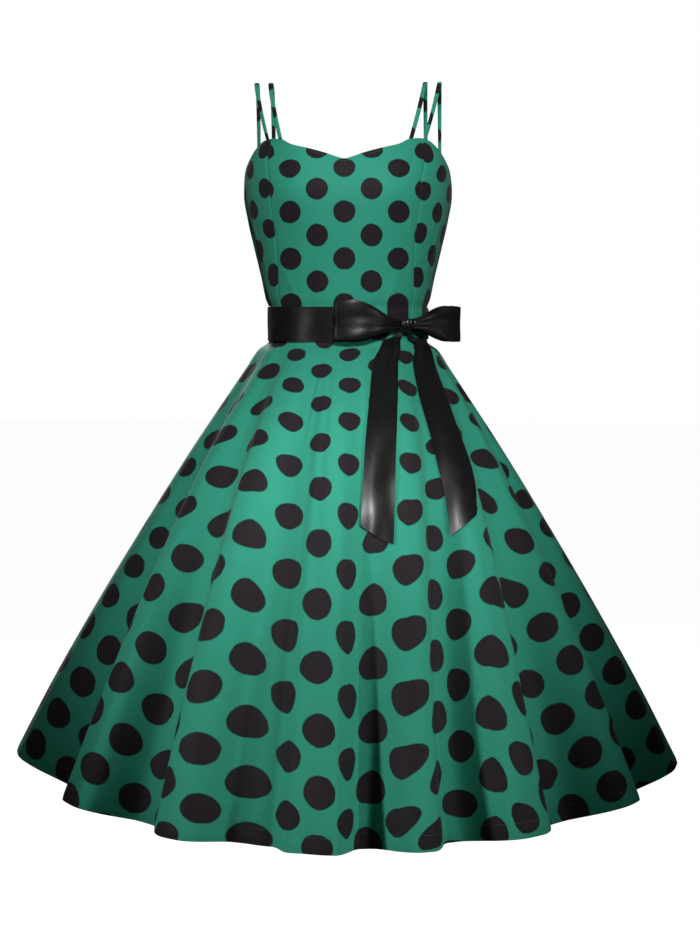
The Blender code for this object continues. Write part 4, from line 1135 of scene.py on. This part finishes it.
# ---------------------------------------------------------------- repeated small things
def run_tree():
    """Small rounded shapes set one after another along an edge path that knows its outward side."""
    tree, given, result = group(
        "GeometryNodeTree", "Run of small shapes",
        [("Path", "NodeSocketGeometry", None), ("Spacing", "NodeSocketFloat", 0.005),
         ("Size along", "NodeSocketFloat", 0.003), ("Size across", "NodeSocketFloat", 0.0006),
         ("Size out", "NodeSocketFloat", 0.0004), ("Unevenness", "NodeSocketFloat", 0.1),
         ("Seed", "NodeSocketInt", 7), ("Material", "NodeSocketMaterial", None)],
        [("Shapes", "NodeSocketGeometry")],
    )
    path = node(tree, "GeometryNodeMeshToCurve", {0: given.outputs["Path"]}).outputs[0]
    even = node(tree, "GeometryNodeResampleCurve", mode="LENGTH")
    feed(tree, even.inputs["Curve"], path)
    feed(tree, even.inputs["Length"], given.outputs["Spacing"])
    ball = node(tree, "GeometryNodeMeshIcoSphere", {"Radius": 0.5, "Subdivisions": 1}).outputs[0]
    tangent = node(tree, "GeometryNodeInputTangent").outputs[0]
    side = node(
        tree, "GeometryNodeInputNamedAttribute", {"Name": "outward"}, data_type="FLOAT_VECTOR"
    ).outputs[0]
    first = node(tree, "FunctionNodeAlignRotationToVector", {"Vector": tangent}, axis="X").outputs[0]
    turned = node(
        tree, "FunctionNodeAlignRotationToVector", {"Rotation": first, "Vector": side}, axis="Z", pivot_axis="X"
    )
    vary = node(tree, "FunctionNodeRandomValue", data_type="FLOAT")
    feed(tree, vary.inputs["Seed"], given.outputs["Seed"])
    low = calc(tree, "SUBTRACT", 1.0, given.outputs["Unevenness"])
    high = calc(tree, "ADD", 1.0, given.outputs["Unevenness"])
    feed(tree, vary.inputs[2], low)
    feed(tree, vary.inputs[3], high)
    size = node(tree, "ShaderNodeCombineXYZ", {
        0: calc(tree, "MULTIPLY", given.outputs["Size along"], vary.outputs[1]),
        1: given.outputs["Size across"], 2: given.outputs["Size out"],
    }).outputs[0]
    many = node(tree, "GeometryNodeInstanceOnPoints", {
        "Points": even.outputs[0], "Instance": ball, "Rotation": turned.outputs[0], "Scale": size,
    }).outputs[0]
    real = node(tree, "GeometryNodeRealizeInstances", {0: many}).outputs[0]
    done = node(tree, "GeometryNodeSetMaterial", {0: real, "Material": given.outputs["Material"]}).outputs[0]
    feed(tree, result.inputs["Shapes"], done)
    return tree


def run_along(name, paths, sizes, seed, mat):
    """A plain mesh of small shapes along paths, each given as (points, outward directions)."""
    points, edges, outward = [], [], []
    for line, out in paths:
        start = len(points)
        points += [tuple(p) for p in line]
        outward += [tuple(o) for o in out]
        edges += [(start + k, start + k + 1) for k in range(len(line) - 1)]
    guide = bpy.data.meshes.new(f"{name}_path")
    guide.from_pydata(points, edges, [])
    layer = guide.attributes.new("outward", "FLOAT_VECTOR", "POINT")
    layer.data.foreach_set("vector", np.array(outward, np.float32).ravel())
    obj = bpy.data.objects.new(f"{name}_path", guide)
    bpy.context.scene.collection.objects.link(obj)
    tree = shared("Run of small shapes", run_tree)
    modifier = obj.modifiers.new("run", "NODES")
    modifier.node_group = tree
    sockets = {s.name: s.identifier for s in tree.interface.items_tree if s.in_out == "INPUT"}
    spacing, size_along, size_across, size_out, uneven = sizes
    for label, value in (("Spacing", spacing), ("Size along", size_along), ("Size across", size_across),
                         ("Size out", size_out), ("Unevenness", uneven), ("Seed", seed), ("Material", mat)):
        modifier[sockets[label]] = value
    bpy.context.view_layer.update()
    graph = bpy.context.evaluated_depsgraph_get()
    mesh = bpy.data.meshes.new_from_object(obj.evaluated_get(graph))
    mesh.name = name
    bpy.data.objects.remove(obj)
    if not mesh.polygons:
        raise RuntimeError(f"{name}: the run of shapes came out empty")
    mesh.shade_smooth()
    piece = place(name, mesh, "root")
    if not mesh.materials:
        mesh.materials.append(mat)
    return piece


def on_skirt_line(left, right, share, off, count):
    """A level line on the skirt, moved out by a distance, with its outward directions."""
    angle = np.linspace(left, right, count)
    level = np.full(count, share)
    out = skirt_facing(angle, level)
    return skirt_point(angle, level) + out * off, out


def make_hem_stitches(look):
    """The run of stitches that holds the turned-up hem."""
    share = 1 - look.hem / SKIRT_DROP - 0.002
    panels = ((-90, 90), (90, 180), (-180, -90))
    paths = [on_skirt_line(a + 0.4, b - 0.4, share, -STITCH_SINK, 500) for a, b in panels]
    sizes = (look.stitch + look.stitch_gap, look.stitch, look.thread, look.thread * 0.9, 0.08)
    return run_along("hem_stitches", paths, sizes, 11, thread_material())


def make_edge_stitches(look):
    """The run of stitches along the top edge, panel by panel."""
    paths = []
    for a, b in ((-88.5, -54.5), (-50.5, 50.5), (54.5, 88.5), (91.5, 178.6), (-178.6, -91.5)):
        angle = np.linspace(a, b, 260)
        z = top_edge(np.abs(angle)) - look.edge
        out = bodice_facing(angle, z)
        paths.append((bodice_point(angle, z) + out * STITCH_SINK, out))
    short = look.stitch * 0.75
    sizes = (short + look.stitch_gap, short, look.thread, look.thread * 0.9, 0.08)
    return run_along("edge_stitches", paths, sizes, 12, thread_material())


def zip_line():
    """Heights down the bodice and shares down the skirt as one line of middle points."""
    z = np.linspace(float(top_edge(180.0)) - ZIP_TOP, WAIST_SEAM + 0.001, 40)
    share = np.linspace(0.004, ZIP_END, 34)
    return z, share


def make_zip(look):
    """The zip's tape inside the centre back, with its coil and its two rows of stitches."""
    sunk = CLOTH + ZIP_LAY
    z, share = zip_line()
    k = np.linspace(-1, 1, 15)
    half_b = np.degrees(ZIP_HALF / np.linalg.norm(bodice_point(180.0, z)[..., :2], axis=-1))
    half_s = np.degrees(ZIP_HALF / np.linalg.norm(skirt_point(180.0, share)[..., :2], axis=-1))
    above = (180 + half_b[:, None] * k, np.broadcast_to(z[:, None], (len(z), len(k))))
    below = (180 + half_s[:, None] * k, np.broadcast_to(share[:, None], (len(share), len(k))))
    points = np.concatenate([
        bodice_point(*above) - bodice_facing(*above) * sunk, skirt_point(*below) - skirt_facing(*below) * sunk
    ])
    out = grid_facing(points)
    flat = vec(np.broadcast_to(k * ZIP_HALF, points.shape[:2]), -lengths(points, 0))
    tape = shell("zip_tape_woven", points, out, 0.0006, flat, None, (tape_material(),))
    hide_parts("zip_tape")
    middle = points[:, len(k) // 2]
    facing_in = -out[:, len(k) // 2]
    coil = run_along(
        "zip_coil", [(middle + facing_in * COIL_STAND, facing_in)],
        (look.tooth, look.tooth * 0.8, *COIL_SIZE, 0.0), 3, coil_material(),
    )
    seams = []
    for side in (-1, 1):
        column = points[:, len(k) // 2 + side * 5]
        seams.append((column + facing_in * STITCH_STAND, facing_in))
    short = look.stitch * 0.75
    sizes = (short + look.stitch_gap, short, look.thread, look.thread, 0.08)
    stitches = run_along("zip_stitches", seams, sizes, 5, thread_material())
    return tape


# ---------------------------------------------------------------- stage
def add_light(name, where, towards, size, power, beam):
    """A round soft light, or a spot light where the angle of its beam is given."""
    light = bpy.data.lights.new(name, "SPOT" if beam else "AREA")
    if beam:
        light.spot_size = math.radians(beam)
        light.spot_blend = 0.9
        light.shadow_soft_size = size
    else:
        light.shape = "DISK"
        light.size = size
    light.energy = power
    obj = bpy.data.objects.new(name, light)
    bpy.context.scene.collection.objects.link(obj)
    obj.location = where
    away = np.array(where) - np.array(towards)
    obj.rotation_euler = (math.atan2(math.hypot(away[0], away[1]), away[2]), 0.0, math.atan2(away[0], -away[1]))
    return obj


def make_floor(level):
    """A pale floor that is bright where it is looked at."""
    mesh = bpy.data.meshes.new("floor")
    corners = [(x * FLOOR_REACH, y * FLOOR_REACH, level) for x, y in ((-1, -1), (1, -1), (1, 1), (-1, 1))]
    mesh.from_pydata(corners, [], [(0, 1, 2, 3)])
    mat = bpy.data.materials.new("Pale floor")
    mat.use_nodes = True
    tree = mat.node_tree
    shader = tree.nodes["Principled BSDF"]
    shader.inputs["Base Color"].default_value = (0.12, 0.12, 0.12, 1)
    shader.inputs["Roughness"].default_value = 0.9
    shader.inputs["Emission Color"].default_value = (1, 1, 1, 1)
    seen = node(tree, "ShaderNodeLightPath").outputs["Is Camera Ray"]
    feed(tree, shader.inputs["Emission Strength"], calc(tree, "MULTIPLY", seen, 0.97))
    mesh.materials.append(mat)
    floor = bpy.data.objects.new("floor", mesh)
    bpy.context.scene.collection.objects.link(floor)
    return floor


def make_world(strength):
    """White where it is looked at, and a faint even light elsewhere."""
    world = bpy.data.worlds.new("Even light")
    world.use_nodes = True
    tree = world.node_tree
    sky = tree.nodes["Background"]
    sky.inputs["Color"].default_value = (1, 1, 1, 1)
    seen = node(tree, "ShaderNodeLightPath").outputs["Is Camera Ray"]
    feed(tree, sky.inputs["Strength"], calc(tree, "MAXIMUM", seen, strength))
    return world


def make_camera(distance):
    """A camera a little to the wearer's left of the front, looking slightly down."""
    camera = bpy.data.cameras.new("camera")
    camera.sensor_width = 36.0
    camera.lens = CAMERA_LENS
    camera.shift_x = CAMERA_SHIFT
    obj = bpy.data.objects.new("camera", camera)
    bpy.context.scene.collection.objects.link(obj)
    around = math.radians(CAMERA_TURN)
    obj.location = (distance * math.sin(around), -distance * math.cos(around), CAMERA_HEIGHT)
    obj.rotation_euler = (math.radians(90 - CAMERA_TILT), 0.0, around)
    return obj


# ---------------------------------------------------------------- settings
class DressCloth(bpy.types.PropertyGroup):
    """Sizes and colours of the printed cotton."""

    cloth: bpy.props.FloatProperty(
        name="Cloth thickness", description="Wall of the cotton as shown", default=0.0008, min=0.0003,
        max=0.0015, subtype="DISTANCE", unit="LENGTH",
    )
    hem: bpy.props.FloatProperty(
        name="Hem depth", description="Depth of the turned-up hem", default=0.018, min=0.005, max=0.04,
        subtype="DISTANCE", unit="LENGTH",
    )
    edge: bpy.props.FloatProperty(
        name="Edge stitching", description="Distance of the stitching below the top edge", default=0.0035,
        min=0.002, max=0.01, subtype="DISTANCE", unit="LENGTH",
    )
    stitch: bpy.props.FloatProperty(
        name="Stitch length", description="Length of one stitch", default=0.0030, min=0.0015, max=0.006,
        subtype="DISTANCE", unit="LENGTH",
    )
    stitch_gap: bpy.props.FloatProperty(
        name="Stitch gap", description="Cloth between two stitches", default=0.0009, min=0.0004, max=0.003,
        subtype="DISTANCE", unit="LENGTH",
    )
    thread: bpy.props.FloatProperty(
        name="Thread", description="Thickness of the sewing thread", default=0.00045, min=0.0002, max=0.001,
        subtype="DISTANCE", unit="LENGTH",
    )
    tooth: bpy.props.FloatProperty(
        name="Coil pitch", description="Distance from turn to turn of the zip's coil", default=0.0016,
        min=0.001, max=0.003, subtype="DISTANCE", unit="LENGTH",
    )
    green: bpy.props.FloatVectorProperty(
        name="Ground", description="Ground colour of the print", default=(0.0270, 0.300, 0.200), size=3,
        min=0.0, max=1.0, subtype="COLOR",
    )
    spot: bpy.props.FloatVectorProperty(
        name="Spots", description="Colour of the spots", default=(0.0125, 0.0078, 0.0108), size=3,
        min=0.0, max=1.0, subtype="COLOR",
    )
    spot_rim: bpy.props.FloatVectorProperty(
        name="Spot rims", description="Colour of the spots' outermost ring", default=(0.0030, 0.0120, 0.0100),
        size=3, min=0.0, max=1.0, subtype="COLOR",
    )
    bodice_columns: bpy.props.IntProperty(
        name="Bodice columns", description="Columns of faces across a bodice panel", default=56, min=12,
        max=120)
    bodice_rows: bpy.props.IntProperty(
        name="Bodice rows", description="Rows of faces down a bodice panel", default=76, min=12, max=160)
    skirt_step: bpy.props.FloatProperty(
        name="Skirt step", description="Degrees between the skirt's columns at most", default=0.75, min=0.4,
        max=4.0)
    skirt_rows: bpy.props.IntProperty(
        name="Skirt rows", description="Rows of faces down a skirt panel", default=92, min=20, max=160)


class DressRibbon(bpy.types.PropertyGroup):
    """Sizes and colour of the satin ribbon."""

    ribbon: bpy.props.FloatProperty(
        name="Ribbon thickness", description="Wall of the ribbon as shown", default=0.0005, min=0.0003,
        max=0.0012, subtype="DISTANCE", unit="LENGTH",
    )
    black: bpy.props.FloatVectorProperty(
        name="Satin", description="Colour of the satin", default=(0.0065, 0.0058, 0.0066), size=3,
        min=0.0, max=1.0, subtype="COLOR",
    )
    belt_columns: bpy.props.IntProperty(
        name="Belt columns", description="Columns of faces round the belt", default=260, min=60, max=600)


class DressStage(bpy.types.PropertyGroup):
    """Floor, light and camera."""

    floor: bpy.props.FloatProperty(
        name="Floor level", description="Height of the floor", default=-1.45, min=-3.0, max=-1.0,
        subtype="DISTANCE", unit="LENGTH",
    )
    key: bpy.props.FloatProperty(
        name="Key light", description="Power of the key light", default=57.0, min=0.0, unit="POWER")
    low: bpy.props.FloatProperty(
        name="Cross lights", description="Power of each light across the skirt", default=112.0, min=0.0,
        unit="POWER")
    fill: bpy.props.FloatProperty(
        name="Fill light", description="Power of the fill light", default=2.0, min=0.0, unit="POWER")
    back: bpy.props.FloatProperty(
        name="Back light", description="Power of the light behind the dress", default=75.0, min=0.0,
        unit="POWER")
    sky: bpy.props.FloatProperty(
        name="Sky", description="Strength of the even light", default=0.05, min=0.0, subtype="FACTOR", max=1.0)
    distance: bpy.props.FloatProperty(
        name="Camera distance", description="From the dress's axis to the camera", default=2.5, min=1.0,
        subtype="DISTANCE", unit="LENGTH",
    )


# ---------------------------------------------------------------- operators
class DRESS_OT_bodice(bpy.types.Operator):
    """Build the five panels of the bodice"""

    bl_idname = "dress.bodice"
    bl_label = "Bodice"

    def execute(self, context):
        look = context.scene.dress_cloth
        panels = {
            "front": (lambda z: -princess(z), princess, (0.255, 0.245), 0.053),
            "side_right": (seam(-90.0), lambda z: -princess(z), (0.100, 0.250), 0.0205),
            "side_left": (princess, seam(90.0), (0.100, 0.250), 0.0205),
            "back_left": (seam(90.0), seam(180.0), (0.200, 0.188), 0.033),
            "back_right": (seam(-180.0), seam(-90.0), (0.200, 0.188), 0.033),
        }
        for which, (left, right, flat, area) in panels.items():
            piece = bodice_panel(which, left, right, look)
        return {"FINISHED"}


class DRESS_OT_skirt(bpy.types.Operator):
    """Build the three panels of the skirt"""

    bl_idname = "dress.skirt"
    bl_label = "Skirt"

    def execute(self, context):
        look = context.scene.dress_cloth
        grid = print_frame()
        for which, left, right, flat, area in (
            ("front", -90.0, 90.0, (1.39, 0.81), 0.73),
            ("back_left", 90.0, 180.0, (0.78, 0.74), 0.36),
            ("back_right", -180.0, -90.0, (0.78, 0.74), 0.36),
        ):
            piece = skirt_panel(which, left, right, look, grid)
        return {"FINISHED"}


class DRESS_OT_straps(bpy.types.Operator):
    """Build the four shoulder straps"""

    bl_idname = "dress.straps"
    bl_label = "Straps"

    def execute(self, context):
        for side, word in ((1, "left"), (-1, "right")):
            for which, (front_angle, reach, back_angle) in STRAPS.items():
                centres, across = strap_route(front_angle, reach, back_angle, side, 26)
                chart = partial(strap_chart, STRAP_PRINT[which, side])
                name = f"strap_{which}_{word}_cloth"
                piece = band(name, centres, across, STRAP_WIDTH, STRAP_THICK, cloth_material(), chart)
                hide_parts(f"strap_{which}_{word}")
        return {"FINISHED"}


class DRESS_OT_belt(bpy.types.Operator):
    """Build the ribbon round the waist"""

    bl_idname = "dress.belt"
    bl_label = "Belt"

    def execute(self, context):
        belt = make_belt(context.scene.dress_ribbon)
        return {"FINISHED"}


class DRESS_OT_bow(bpy.types.Operator):
    """Build the bow: knot, two loops and two tails"""

    bl_idname = "dress.bow"
    bl_label = "Bow"

    def execute(self, context):
        look = context.scene.dress_ribbon
        knot = make_knot(look)
        for side, area in ((1, 0.0061), (-1, 0.0066)):
            loop = make_loop(side, look)
        for word, plan, area in (("right", TAIL_RIGHT, 0.0135), ("left", TAIL_LEFT, 0.0145)):
            tail = make_tail(word, plan, look)
        return {"FINISHED"}


class DRESS_OT_zip(bpy.types.Operator):
    """Build the zip's tape and coil, and finish its slider and pull"""

    bl_idname = "dress.zip"
    bl_label = "Zip"

    def execute(self, context):
        make_zip(context.scene.dress_cloth)
        metal = metal_material()
        for name in ("zip_slider", "zip_pull"):
            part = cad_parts[name]
            for slot in part.material_slots:
                slot.material = metal
        return {"FINISHED"}


class DRESS_OT_stitches(bpy.types.Operator):
    """Sew the hem and the top edge"""

    bl_idname = "dress.stitches"
    bl_label = "Stitches"

    def execute(self, context):
        look = context.scene.dress_cloth
        make_hem_stitches(look)
        make_edge_stitches(look)
        return {"FINISHED"}


class DRESS_OT_stage(bpy.types.Operator):
    """Set up the floor, the light and the camera"""

    bl_idname = "dress.stage"
    bl_label = "Stage"

    def execute(self, context):
        scene = context.scene
        look = scene.dress_stage
        make_floor(look.floor)
        for name, (where, towards, size, setting, beam) in LIGHTS.items():
            add_light(name, where, towards, size, getattr(look, setting), beam)
        scene.world = make_world(look.sky)
        scene.camera = make_camera(look.distance)
        scene.view_settings.view_transform = "Standard"
        return {"FINISHED"}


OPERATORS = (
    DRESS_OT_bodice, DRESS_OT_skirt, DRESS_OT_straps, DRESS_OT_belt, DRESS_OT_bow, DRESS_OT_zip,
    DRESS_OT_stitches, DRESS_OT_stage,
)
SETTINGS = {"dress_cloth": DressCloth, "dress_ribbon": DressRibbon, "dress_stage": DressStage}


class DRESS_PT_panel(bpy.types.Panel):
    """The dress's pieces and their settings"""

    bl_label = "Dress"
    bl_idname = "DRESS_PT_panel"
    bl_space_type = "VIEW_3D"
    bl_region_type = "UI"
    bl_category = "Dress"

    def draw(self, context):
        for operator in OPERATORS:
            self.layout.operator(operator.bl_idname)
        for name, kind in SETTINGS.items():
            box = self.layout.box()
            for prop in kind.__annotations__:
                box.prop(getattr(context.scene, name), prop)


def register():
    """Add the settings, the operators and the panel."""
    for name, kind in SETTINGS.items():
        bpy.utils.register_class(kind)
        setattr(bpy.types.Scene, name, bpy.props.PointerProperty(type=kind))
    for operator in OPERATORS:
        bpy.utils.register_class(operator)
    bpy.utils.register_class(DRESS_PT_panel)


def unregister():
    """Take the panel, the operators and the settings away again."""
    bpy.utils.unregister_class(DRESS_PT_panel)
    for operator in reversed(OPERATORS):
        bpy.utils.unregister_class(operator)
    for name, kind in SETTINGS.items():
        delattr(bpy.types.Scene, name)
        bpy.utils.unregister_class(kind)


def main():
    """Build every piece in order."""
    register()
    for operator in OPERATORS:
        family, name = operator.bl_idname.split(".")
        if getattr(getattr(bpy.ops, family), name)() != {"FINISHED"}:
            raise RuntimeError(f"{operator.bl_label} did not finish")


if __name__ == "__main__":
    main()
